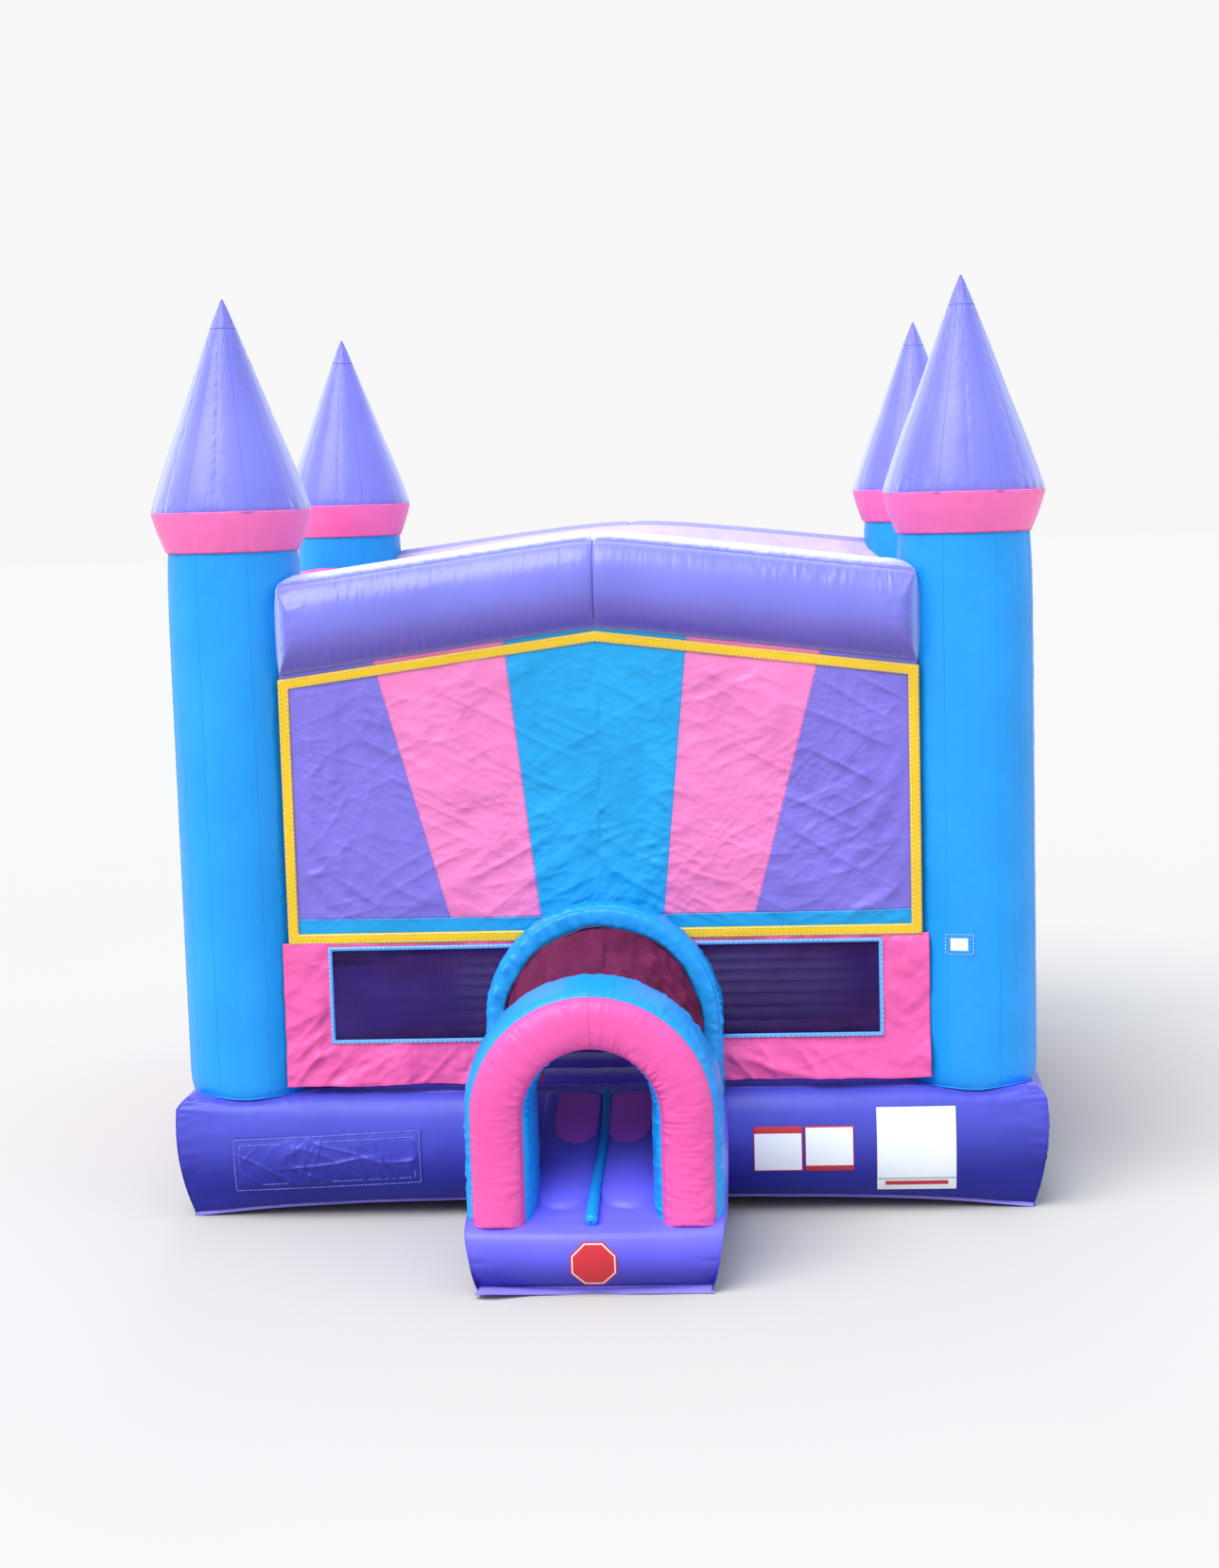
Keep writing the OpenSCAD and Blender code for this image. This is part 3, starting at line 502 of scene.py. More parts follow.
M = {
    # painted sheen: a pale sky reflection is painted into the colour where it is seen edge on
    "purple": vinyl("purple_vinyl", PURPLE, rough=0.33, gloss=0.5, pale=0.60),
    # painted shade: lower down the base's colour is multiplied darker and bluer, for the shade low on it
    "purple_base": vinyl("purple_base_vinyl", (0.058, 0.064, 0.480), shade=(0.14, 0.46, (0.17, 0.19, 0.55))),
    # painted shade: the ramp's low front is multiplied darker towards the ground
    "purple_ramp": vinyl("purple_ramp_vinyl", (0.140, 0.126, 0.84), shade=(0.03, 0.27, (0.24, 0.23, 0.41))),
    "purple_sill": vinyl("purple_sill_vinyl", (0.170, 0.140, 0.88), rough=0.65, gloss=0.06),
    # painted reflection: the beam's lower half is multiplied darker along the gable, and a pale sky sheen is
    # painted where its top is seen edge on
    "purple_beam": vinyl("purple_beam_vinyl", PURPLE, rough=0.31, gloss=0.55, pale=0.85,
                         shade=(2.72, 2.90, (0.82, 0.60, 0.76)), slope=GABLE_SLOPE),
    # a paler, greyer, matt copy of the beam purple: the rear beam's glare from the sky is painted into its
    # colour
    "purple_rear_painted_glare": vinyl("purple_painted_glare_for_rear_beam", (0.25, 0.24, 0.58), rough=0.6, gloss=0.08),
    "purple_cloth": vinyl("purple_banner_vinyl", (0.180, 0.140, 0.585), rough=0.40, crumple=0.4, creased=0.6),
    "purple_floor": vinyl("purple_floor_vinyl", (0.150, 0.105, 0.92), rough=0.34, gloss=0.25),
    "hem": vinyl("light_purple_vinyl", PURPLE_LIGHT),
    "plum_look": vinyl("plum_vinyl", (0.60, 0.12, 0.80)),
    "pink": vinyl("pink_vinyl", PINK),
    # a lighter copy of the pink: the collars face down and get less light, so light is painted into their
    # colour
    "pink_lit_collars": vinyl("pink_painted_lighter_for_collars", (0.93, 0.165, 0.470)),
    "pink_cloth": vinyl("pink_banner_vinyl", (0.75, 0.185, 0.455), rough=0.40, crumple=0.4, creased=0.6),
    "skirt": vinyl("skirt_vinyl", (0.77, 0.100, 0.350), rough=0.38, crumple=0.3, creased=0.15),
    "roof": vinyl("roof_vinyl", (0.45, 0.36, 0.50), rough=0.6, gloss=0.1, crumple=0.5),
    "blue": vinyl("blue_vinyl", BLUE),
    "blue_cloth": vinyl("blue_banner_vinyl", (0.003, 0.300, 0.650), rough=0.40, crumple=0.4, creased=0.6),
    "light_blue": vinyl("light_blue_vinyl", (0.10, 0.36, 0.80), crumple=0.1),
    "yellow": vinyl("yellow_vinyl", YELLOW, crumple=0.2),
    "piping": vinyl("seam_tape", (0.035, 0.028, 0.20), crumple=0.1),
    "purple_piping": vinyl("purple_seam_tape", (0.130, 0.120, 0.56), crumple=0.1),
    "pink_piping": vinyl("pink_seam_tape", (0.70, 0.08, 0.32), crumple=0.1),
    "blue_piping": vinyl("blue_seam_tape", (0.012, 0.29, 0.76), crumple=0.1),
    "navy": vinyl("navy_binding", NAVY, crumple=0.1),
    "net": net_material("window_net", (0.032, 0.006, 0.062), 0.62),
    "canopy": net_material("canopy_net", (0.120, 0.008, 0.050), 1.06),
    "thread": webbing("stitching_thread", (0.24, 0.25, 0.78)),
    "pale_thread": webbing("pale_thread", (0.80, 0.80, 0.82)),
    "white": vinyl("white_label_vinyl", (0.80, 0.84, 0.88), crumple=0.3, drift=0.03),
    "red": vinyl("red_label_vinyl", (0.52, 0.022, 0.036), crumple=0.3),
    "grey": vinyl("grey_label_vinyl", (0.42, 0.47, 0.55), crumple=0.3),
    "webbing": webbing("anchor_webbing", (0.045, 0.035, 0.20)),
    "strap": webbing("black_strap", (0.02, 0.02, 0.024)),
    "zipper": webbing("zipper_tape", (0.012, 0.012, 0.035)),
    "steel": metal("zinc_steel", (0.62, 0.62, 0.64)),
    "aluminium": metal("pressed_aluminium", (0.72, 0.73, 0.75), 0.38),
    "blower": plastic("blower_shell_plastic", (0.020, 0.135, 0.46), 0.38, 0.3),
    "black": plastic("black_plastic", (0.018, 0.018, 0.021), 0.5),
    "motor": plastic("motor_paint", (0.050, 0.054, 0.062), 0.4, 0.15),
    "rubber": plastic("foot_rubber", (0.014, 0.014, 0.014), 0.75, 0.4),
    "switch": plastic("switch_red", (0.50, 0.012, 0.012), 0.3, 0.05),
}


# ---- base ----

def base_hw(z):
    """Half width of the base's corner edge at height z."""
    shoulder = np.where(z > 0.5, 0.040 * ((z - 0.5) / 0.06) ** 2, 0)
    return BASE_HALF - 0.012 - BASE_SWELL * ((z - SWELL_Z) / SWELL_Z) ** 2 - shoulder


def hem_z(s):
    """Height of the base's hem at s from -1 to 1 along a side: it lifts between the corners."""
    return FOOT_Z + HEM_LIFT * (1 - np.abs(s) ** 3.5)


def base_profile(s, t):
    """(half width, height) of a base side: s from -1 to 1 along it, t from 0 at the hem to 1 on the top."""
    foot = hem_z(s)
    a = math.pi * (t - 0.5)
    z = foot + (BASE_TOP - foot) * (0.5 + 0.5 * np.sin(a))
    corner = base_hw(z)
    return corner + (SIDE_IN + SIDE_BULGE * np.cos(a) - corner) * (1 - s**6), z


def base_front_y(x, z):
    """How far in front of the middle the base's front face is at a place on it."""
    s = x / BASE_HALF
    foot = hem_z(s)
    a = np.arcsin(np.clip((z - foot) / (BASE_TOP - foot) * 2 - 1, -1, 1))
    return -base_profile(s, a / math.pi + 0.5)[0]


def shoulder_z(x, y):
    """Height of the base's rounded shoulder at a place on its top."""
    out = np.clip((np.maximum(np.abs(x), np.abs(y)) - SIDE_IN - 0.012) / SIDE_BULGE, 0, 0.9)
    return BASE_TOP - 0.25 * (1 - np.sqrt(1 - out**2))


def tower_puckers(p, seed, depth=0.0035):
    """Drop of the cloth in the gathers round the columns' feet."""
    drop = 0
    for tower in TOWERS.values():
        dx, dy = p[..., 0] - tower.x, p[..., 1] - tower.y
        away = np.clip(np.hypot(dx, dy) - COLUMN_R, 0, None)
        drop = drop + pucker(np.arctan2(dy, dx) * COLUMN_R, away, seed, 0.03, 0.06, depth) * 2 - \
            0.012 * np.exp(-away / 0.02)
    return drop


def fitted_near(along, z, quarter):
    """1 where a ring or the vent is sewn on a side of the base, so that its cloth is drawn in flat there."""
    if quarter == 2:
        lo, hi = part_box("vent_flap")
        off = np.maximum(np.maximum(-hi.x - along, along + lo.x), np.maximum(lo.z - z, z - hi.z))
    elif quarter in (1, 3):
        off = np.maximum(np.abs(np.abs(along) - middle("d_ring_rear_right").y) - 0.075, z - 0.225)
    else:
        return 0 * z
    near = np.clip(1 - off / 0.15, 0, 1)
    return near * near * (3 - 2 * near)


def base_face(s, t, quarter):
    """A side of the base with its wrinkles: s from -1 to 1 along it, t from 0 at the hem to 1 on the top."""
    seed = 11 + 7 * quarter
    w, z = base_profile(s, t)
    along = s * BASE_HALF
    drawn_in = fitted_near(along, z, quarter)
    w = w + (base_hw(z) - w) * drawn_in
    corner = BASE_HALF - np.abs(along)
    wrinkle = pucker(along, t * 0.55, seed + 1, 0.05, 0.05, 0.006)
    wrinkle = wrinkle + pucker(t, corner, seed + 2, 0.04, 0.12, 0.012)
    wrinkle = wrinkle + 0.004 * noise(stack(along, z, 0 * z), (0.5, 0.12, 1), seed + 3) * (1 - s**6)
    wrinkle = wrinkle * (1 - drawn_in)
    p = stack(s * base_hw(z), -w - wrinkle * np.sin(math.pi * t) ** 0.4, z)
    p[..., 2] += tower_puckers(p, seed + 4) * np.clip((t - 0.7) / 0.2, 0, 1)
    return p


def turned(p, quarter):
    """Points turned about Z by quarter turns."""
    c, s = round(math.cos(quarter * math.pi / 2)), round(math.sin(quarter * math.pi / 2))
    return stack(p[..., 0] * c - p[..., 1] * s, p[..., 0] * s + p[..., 1] * c, p[..., 2])


def base_chamber():
    parts, seams, hem = [], [], []
    s, t = mesh_grid(361, 61)
    s = 2 * s - 1
    for quarter in range(4):
        face = base_face(s, t, quarter)
        edge = face[:, -1]
        inward = np.linspace(0, 1, 16)[None, :, None] * np.array([-0.055, -0.055, 0])
        inner = edge[:, None] * (1 + inward)
        inner[..., 2] = BASE_TOP + tower_puckers(inner, 15 + 7 * quarter)
        foot = face[:, 0]
        under_in = np.linspace(0, 1, 9)[None, :]
        under = foot[:, None] * stack(1 - 0.16 * under_in, 1 - 0.16 * under_in, 1 + 0 * under_in)
        under[..., 2] = foot[:, None, 2] * (1 - under_in) ** 2
        floor = under[:, -1:] * np.array([1.0, 1.0, 0])
        centre = np.concatenate([floor, floor * 0], axis=1)
        parts += [surface(turned(g, quarter), flip=f)
                  for g, f in ((face, False), (inner, False), (under, True), (centre, True))]
        seams.append(tube(turned(face[-1], quarter), 0.003))
        wave = 0.006 * noise(foot, 0.16, 5 + quarter)
        drop = np.linspace(0, 1, 4)[None, :]
        flap = foot[:, None] + stack(0 * drop, -0.003 - (0.006 + wave[:, None]) * drop, -0.012 * drop)
        flap[..., 2] = np.maximum(flap[..., 2], 0.002)
        hem += [surface(turned(flap, quarter)), surface(turned(flap + [0, 0.003, 0.001], quarter), flip=True)]
        hem.append(tube(turned(foot, quarter), 0.005))
    inflated("base_skin", parts, [M["purple_base"], M["purple_sill"]], "vinyl_purple", ["base_chamber"],
             part_material=[0, 1, 0, 0] * 4)
    piece("base_seams", seams, [M["purple_base"]], "vinyl_purple")
    piece("base_hem", hem, [M["hem"]], "vinyl_purple")


def bounce_floor():
    """The floor's tubes run across, each between two baffles."""
    half = 1.875
    u, v = mesh_grid(60, 331)
    x, y = (2 * u - 1) * half, (2 * v - 1) * half
    tube_height = np.abs(np.cos(math.pi * (y / TUBE_PITCH + 0.5))) ** 0.45
    edge = np.clip((half - np.abs(x)) / 0.12, 0, 1) ** 0.5
    z = BASE_TOP - 0.060 + 0.055 * tube_height * edge + 0.003 * noise(stack(x, y, 0 * x), (0.05, 0.2, 1), 3)
    inflated("bounce_floor", [surface(stack(x, y, z))], [M["purple_floor"]], "vinyl_purple",
             ["floor_baffles"])


# ---- towers ----

def gored(theta, count, depth):
    """Shrink factor round a body sewn from gores: 1 in the middle of a gore, less at its seams."""
    return 1 - depth * (1 - np.abs(np.sin(count * theta / 2)) ** 0.55)


def turned_body(centre, z, r, depth, seed, wave):
    """A body of revolution of gores: z and r are its profile from the foot up."""
    theta = full_turn(144)[:, None] + math.pi / GORES
    z, r = z[None, :], r[None, :]
    lobe = gored(theta, GORES, depth)
    seam = np.abs(np.sin(GORES * theta / 2)) * math.pi * r / GORES
    radius = r * lobe + pucker(z + 7 * theta, seam, seed, wave, 0.05, 0.004)
    return around(centre, radius, theta, z)


def gore_seams(p, radius):
    """Thin seam tubes where the gores meet."""
    return [tube(line, radius, 5) for line in p[::p.shape[0] // GORES]]


def gathered_ring(centre, z, r, radius):
    a = full_turn(96)
    return tube(around(centre, r, a, z), radius, 6, closed=True)


def column(name, centre, seed):
    t = np.linspace(0, 1, 150)
    z = BASE_TOP + (COLUMN_TOP - BASE_TOP) * t
    r = COLUMN_R + 0.004 - 0.017 * np.exp(-(z - z[0]) / 0.03) - 0.012 * np.exp(-(z[-1] - z) / 0.12)
    p = turned_body(centre, z, r, 0.010, seed, 0.04)
    foot = shoulder_z(p[..., 0], p[..., 1]) - BASE_TOP - 0.006
    p[..., 2] += foot * np.exp(-(z - z[0]) / 0.15)[None, :]
    inflated(f"column_skin_{name}", [surface(p, wrap_u=True, flip=True)], [M["blue"]], "vinyl_blue",
             [f"column_{name}"])
    piece(f"column_seams_{name}", gore_seams(p, 0.0016) + [tube(p[:, 0], 0.004, 5, closed=True)],
          [M["blue_piping"]], "vinyl_blue")


def collars():
    parts, seams = [], []
    theta = full_turn(200)[:, None]
    t = np.linspace(0, 1, 26)
    z = COLUMN_TOP - 0.004 + (COLLAR_TOP - COLUMN_TOP + 0.004) * t
    r = COLUMN_R - 0.002 + (SPIRE_R + 0.002 - COLUMN_R) * t + 0.006 * np.sin(math.pi * t)
    z, r = np.append(z, COLLAR_TOP + 0.001), np.append(r, SPIRE_R - 0.05)
    for i, centre in enumerate(TOWERS.values()):
        ring = r[None, :] * gored(theta, 16, 0.004)
        low_away, high_away = z[None, :] - z[0] + 0 * theta, z[-1] - z[None, :] + 0 * theta
        ring = ring + pucker(theta * COLUMN_R, low_away, 31 + i, 0.03, 0.05, 0.006)
        ring = ring + pucker(theta * COLUMN_R, high_away, 61 + i, 0.03, 0.04, 0.005)
        parts.append(surface(around(centre, ring, theta, z[None, :]), wrap_u=True, flip=True))
        seams.append(gathered_ring(centre, COLUMN_TOP, COLUMN_R - 0.002, 0.004))
    inflated("collar_skins", parts, [M["pink_lit_collars"]], "vinyl_pink", ["turret_collars"])
    piece("collar_seams", seams, [M["pink_piping"]], "vinyl_pink")


def spire(name, centre, seed):
    t = np.linspace(0, 1, 110) ** 1.15
    z = COLLAR_TOP - 0.005 + (SPIRE_TOP - COLLAR_TOP + 0.005) * t
    r = SPIRE_R * (1 - t) ** 0.95 * (1 + 0.018 * np.sin(math.pi * np.minimum(t * 2.2, 1))) + 0.003
    r = r - 0.008 * np.exp(-t * 60)
    theta = full_turn(240)[:, None] + math.pi / GORES
    lobe = gored(theta, GORES, 0.015)
    away = (z - z[0])[None, :] + 0 * theta
    radius = r[None, :] * lobe + pucker(theta * SPIRE_R, away, seed, 0.03, 0.05, 0.004)
    seam = np.abs(np.sin(GORES / 2 * theta)) * math.pi * r[None, :] / GORES
    radius = radius + pucker(z[None, :] + 5 * theta, seam, seed + 3, 0.03, 0.03, 0.003)
    dip = 0.004 * (1 - np.abs(np.sin(GORES / 2 * theta)) ** 0.7) * np.exp(-away / 0.08)
    p = around(centre, radius, theta, z[None, :] + dip)
    inflated(f"spire_skin_{name}", [surface(p, wrap_u=True, flip=True)], [M["purple"]], "vinyl_purple",
             [f"spire_{name}"])
    tip_seam = tube(p[:, int(np.abs(z - SPIRE_TOP + 0.13).argmin())], 0.0018, 5, closed=True)
    rings = [tube(p[:, 0], 0.0035, 5, closed=True), tip_seam]
    piece(f"spire_seams_{name}", gore_seams(p, 0.0010) + rings, [M["purple_piping"]], "vinyl_purple")


# ---- pillowed bars: beams and arches ----

def pillow_bar(origin, side, up, half_w, half_h, bulges, seed, n_across=16, end_reach=0.10, end_bulge=0.03,
               power=0.6, wave=0.03, depth=0.006, end_depth=0.006):
    """Four puffed panels along a path, and two end panels, sewn together at the four edges.

    origin, side and up are arrays along the path: its points and the two axes of its cross-section.
    bulges are how far the panels on +side, +up, -side and -up puff out. Returns the panels' points,
    in that order, then the two ends', and the paths of the four seams.
    """
    corners = np.array([[half_w, -half_h], [half_w, half_h], [-half_w, half_h], [-half_w, -half_h]])
    normals = np.array([[1, 0], [0, 1], [-1, 0], [0, -1]])
    along = distances(origin)
    from_end = np.minimum(along, along[-1] - along)[:, None]
    t = np.linspace(0, 1, n_across)[None, :]
    down, across = np.broadcast_arrays(along[:, None], t)
    mitre = np.minimum(1 - np.abs(2 * t - 1), from_end / end_reach)
    panels, seams = [], []
    for k in range(4):
        a, b = corners[k], corners[(k + 1) % 4]
        width = np.linalg.norm(b - a)
        puff = bulges[k] * (1 - (1 - mitre) ** 2.4) ** power
        for i, from_edge in enumerate((across * width, (1 - across) * width)):
            gathers = pucker(down, from_edge, seed + k * 5 + i, wave, width * 0.2, depth)
            puff = puff + gathers * np.clip(from_end / 0.03, 0, 1)
        puff = puff + pucker(across * width, from_end + 0 * t, seed + k * 5 + 2, wave, 0.08, end_depth)
        flat = a[None, None, :] + (b - a)[None, None, :] * t[..., None] + normals[k] * puff[..., None]
        p = origin[:, None] + side[:, None] * flat[..., :1] + up[:, None] * flat[..., 1:]
        panels.append(p)
        seams.append(p[:, 0])
    ends = []
    u, v = mesh_grid(14, 14)
    x, y = (2 * u - 1) * half_w, (2 * v - 1) * half_h
    for end, inner in ((0, 1), (-1, -2)):
        ahead = origin[end] - origin[inner]
        ahead = ahead / np.linalg.norm(ahead)
        cap = origin[end] + side[end] * x[..., None] + up[end] * y[..., None]
        ends.append(cap + ahead * (end_bulge * crown(u) * crown(v))[..., None])
    return panels, ends, seams


def bar_parts(panels, ends, flip=False):
    parts = [surface(p, flip=flip) for p in panels]
    parts.append(surface(ends[0], flip=flip))
    parts.append(surface(ends[1], flip=not flip))
    return parts


def beam_centre_z(x, sign):
    """Height of a gabled beam's middle; the rear one (sign 1) is rounder at its peak."""
    soft = 0.10 if sign < 0 else 0.35
    return BEAM_PEAK - BEAM_SIZE / 2 - 0.018 - GABLE_SLOPE * (np.sqrt(x**2 + soft**2) - 0.72 * soft)


def beam_top_z(x, y):
    """Height of the gabled beams' tops at a place on them."""
    across = np.clip(np.abs(np.abs(y) - BEAM_Y) / BEAM_HALF[0], 0, 1)
    centre = np.where(y > 0, beam_centre_z(x, 1), beam_centre_z(x, -1))
    return centre + BEAM_HALF[1] + BEAM_PUFFS[1] * (1 - across**2.4) ** 0.8


def gabled_beam(name, sign, look, seed):
    """The beam over the front (-1) or the rear (1) wall, bent in the middle."""
    x = np.linspace(-BEAM_END, BEAM_END, 461)
    origin = stack(x, sign * BEAM_Y, beam_centre_z(x, sign))
    side = np.tile([0, sign * 1.0, 0], (len(x), 1))
    up = np.tile([0, 0, 1.0], (len(x), 1))
    panels, ends, seams = pillow_bar(origin, side, up, *BEAM_HALF, BEAM_PUFFS, seed, n_across=36,
                                     end_reach=0.105, power=0.80, wave=0.022, depth=0.0035)
    pinch = 0.014 * np.exp(-np.abs(x) / 0.012)[:, None]
    for p, (out_y, out_z) in zip(panels, ((sign, 0), (0, 1), (-sign, 0), (0, -1))):
        p[..., 1] -= pinch * out_y
        p[..., 2] -= pinch * out_z
    inflated(f"{name}_skin", bar_parts(panels, ends, flip=sign > 0), [M[look]], "vinyl_purple", [name])
    middle_seam = panels[0][len(x) // 2, 5:]
    lines = [tube(line, 0.0022, 5) for line in seams]
    piece(f"{name}_seams", lines, [M["purple_piping"]], "vinyl_purple")
    piece(f"{name}_middle_seam", [tube(middle_seam, 0.0035, 5)], [M["piping"]], "vinyl_purple")


def side_beam_top_z(x):
    """Height of the left and right beams' tops at a place across them."""
    across = np.clip(np.abs(np.abs(x) - middle("beam_right").x) / SIDE_BEAM_HALF[0], 0, 1)
    return middle("beam_right").z + SIDE_BEAM_HALF[1] + SIDE_BEAM_PUFFS[1] * (1 - across**2.4) ** 0.8


def side_beam(name, sign, seed):
    y = np.linspace(-BEAM_END, BEAM_END, 241)
    origin = stack(sign * middle("beam_right").x, y, middle(name).z)
    side = np.tile([sign * 1.0, 0, 0], (len(y), 1))
    up = np.tile([0, 0, 1.0], (len(y), 1))
    panels, ends, seams = pillow_bar(origin, side, up, *SIDE_BEAM_HALF, SIDE_BEAM_PUFFS, seed,
                                     n_across=24, end_reach=0.17, power=0.80, wave=0.022, depth=0.0028)
    inflated(f"{name}_skin", bar_parts(panels, ends, flip=sign < 0), [M["pink"]], "vinyl_pink", [name])
    piece(f"{name}_seams", [tube(line, 0.0022, 5) for line in seams], [M["pink_piping"]], "vinyl_pink")


# ---- ramp ----

def ramp_line_z(y):
    """Height of the ramp's straight top, between the tubes of its lanes."""
    return RAMP_LOW + (RAMP_EDGE_Y + y) * RAMP_SLOPE


def ramp_profile(v):
    """(distance in front of the middle, height) down the ramp from its head (0) to the front foot (1)."""
    run = RAMP_EDGE_Y - RAMP_TOP_Y
    points = [(RAMP_HEAD_Y, BASE_TOP - 0.002)]
    points += [(RAMP_TOP_Y + run * f, BASE_TOP - (BASE_TOP - RAMP_LOW) * f) for f in np.linspace(0, 0.94, 12)]
    points += [(RAMP_EDGE_Y + 0.002, 0.262), (RAMP_FRONT - 0.012, 0.225), (RAMP_FRONT, 0.15),
               (RAMP_FRONT - 0.010, 0.08), (RAMP_FRONT - 0.045, 0.018)]
    points = rounded(points, 3)
    along = distances(points)
    at = v * along[-1]
    return np.interp(at, along, points[:, 0]), np.interp(at, along, points[:, 1])


def ramp_edge_hw(z):
    """Half width of the ramp's top and front panel at height z."""
    return RAMP_HW - (RAMP_HW - RAMP_FOOT_HW) * (np.maximum(RAMP_LOW - z, 0) / RAMP_LOW) ** 1.4


def ramp_front_puff(u):
    return 0.034 * crown(u, 2.0, 0.8)


def ramp_front_y(x, z):
    """Place of the ramp's front panel along Y at a place on it."""
    dist, height = ramp_profile(np.linspace(0.8, 1, 200))
    return -np.interp(-z, -height, dist) - ramp_front_puff(0.5 + 0.5 * x / ramp_edge_hw(z))


def ramp_top(x, y):
    """Height of the ramp inside the tunnel: two lanes, each a tube with a round front end."""
    away = np.hypot(np.abs(x) - LANE_X, np.clip(-LANE_END - y, 0, None))
    tube_height = np.sqrt(np.clip(1 - (away / LANE_HALF) ** 2, 0, 1))
    return ramp_line_z(y) + 0.040 * tube_height


def ramp_chamber():
    u, v = mesh_grid(181, 241)
    dist, z = ramp_profile(v)
    hw = ramp_edge_hw(z)
    x = (2 * u - 1) * hw
    lanes = (ramp_top(x, -dist) - ramp_line_z(-dist)) * (dist < RAMP_EDGE_Y - 0.03)
    fade = np.clip((dist - RAMP_TOP_Y) / 0.05, 0, 1)
    front = np.clip((dist - RAMP_EDGE_Y + 0.05) / 0.05, 0, 1) * np.clip(z / 0.05, 0, 1)
    edge_away = (1 - np.abs(2 * u - 1)) * hw
    puff = ramp_front_puff(u) * front + pucker(dist + z, edge_away, 81, 0.05, 0.06, 0.008)
    p = stack(x, -dist - puff * front, z + lanes * fade + puff * (1 - front) * 0.4)
    parts = [surface(p)]
    seams = []
    t = np.linspace(0, 1, 26)[None, :]
    for sign in (-1, 1):
        edge = p[-1 if sign > 0 else 0]
        edge_x, edge_y, edge_z = (edge[:, None, k] + 0 * t for k in range(3))
        back = np.clip((RAMP_FRONT - 0.05 + edge_y) / 0.35, 0, 1)
        swell = (0.008 + 0.027 * back) * np.sin(math.pi * t) ** 0.7
        swell = swell + pucker(edge_y, t * 0.4 + 0 * edge_y, 91 + sign, 0.04, 0.08, 0.006)
        side_x = edge_x * (1 - t) + sign * RAMP_FOOT_HW * t + sign * swell
        parts.append(surface(stack(side_x, edge_y, edge_z * (1 - t) + FOOT_Z * t), flip=sign > 0))
        seams.append(tube(edge, 0.0022, 5))
    under = stack((2 * u - 1) * RAMP_FOOT_HW, -(RAMP_HEAD_Y + (RAMP_FRONT - 0.045 - RAMP_HEAD_Y) * v), 0.0)
    under[..., 2] = FOOT_Z * np.maximum(np.abs(2 * u - 1) ** 12, v**14)
    parts.append(surface(under, flip=True))
    inflated("ramp_skin", parts, [M["purple_ramp"]], "vinyl_purple", ["ramp_chamber"])
    x = np.linspace(-RAMP_FOOT_HW, RAMP_FOOT_HW, 121)
    wave = 0.055 * ripple(x, 0.21, 4)
    t = np.linspace(0, 1, 7)[:, None]
    y = -(RAMP_FRONT - 0.048) - t * (0.060 + wave[None, :])
    z = np.maximum(0.026 - 0.018 * t + 0.35 * t * wave[None, :], 0.002)
    flap = stack(x[None, :] * (1 + 0.03 * t), y, z)
    hem = [surface(flap), surface(flap - [0, 0, 0.0015], flip=True), tube(p[:, -1], 0.006, 6)]
    piece("ramp_seams", seams, [M["purple_ramp"]], "vinyl_purple")
    piece("ramp_hem", hem, [M["hem"]], "vinyl_purple")


def plum_patches():
    """Two lighter plum patches with round lower ends near the ramp's head, laid on its lanes."""
    parts = []
    for cx in (-0.118, 0.118):
        u, v = mesh_grid(31, 41)
        across = 2 * u - 1
        y_high, y_low = -(RAMP_TOP_Y + 0.09), -(RAMP_TOP_Y + 0.54)
        round_low = np.where(v > 0.6, np.sqrt(np.clip(1 - ((v - 0.6) / 0.4) ** 2, 0, 1)), 1)
        x = cx + across * 0.092 * np.maximum(round_low, 0.02)
        y = y_high + (y_low - y_high) * v
        parts.append(surface(stack(x, y, ramp_top(x, y) + 0.005)))
    piece("plum_patches", parts, [M["plum_look"]], "vinyl_purple")


def divider():
    f = 0.5 - 0.5 * np.cos(np.linspace(0, math.pi, 90))
    y = -(RAMP_TOP_Y + 0.02 + (RAMP_EDGE_Y - RAMP_TOP_Y - 0.024) * f)
    closing = np.clip(np.minimum(f, 1 - f) * (RAMP_EDGE_Y - RAMP_TOP_Y) / 0.016, 0.01, 1)
    r = (0.017 + 0.010 * f) * np.sqrt(1 - (1 - closing) ** 2)
    x = 0.010 * np.sin(f * 5)
    path = stack(x, y, ramp_line_z(y) + 0.020)
    inflated("divider_skin", [tube(path, r, 16)], [M["blue"]], "vinyl_blue", ["ramp_divider"])


# ---- arches ----

def arch_axes(r, cz, foot_z, n_leg=34, n_bow=80):
    """Points and outward axes of an arch in the X-Z plane, from the left foot to the right one."""
    leg = np.linspace(foot_z, cz, n_leg, endpoint=False)
    a = np.linspace(math.pi, 0, n_bow)
    x = np.concatenate([0 * leg - r, r * np.cos(a), 0 * leg + r])
    z = np.concatenate([leg, cz + r * np.sin(a), leg[::-1]])
    out_x = np.concatenate([0 * leg - 1, np.cos(a), 0 * leg + 1])
    out_z = np.concatenate([0 * leg, np.sin(a), 0 * leg])
    return stack(x, 0, z), stack(out_x, 0, out_z)


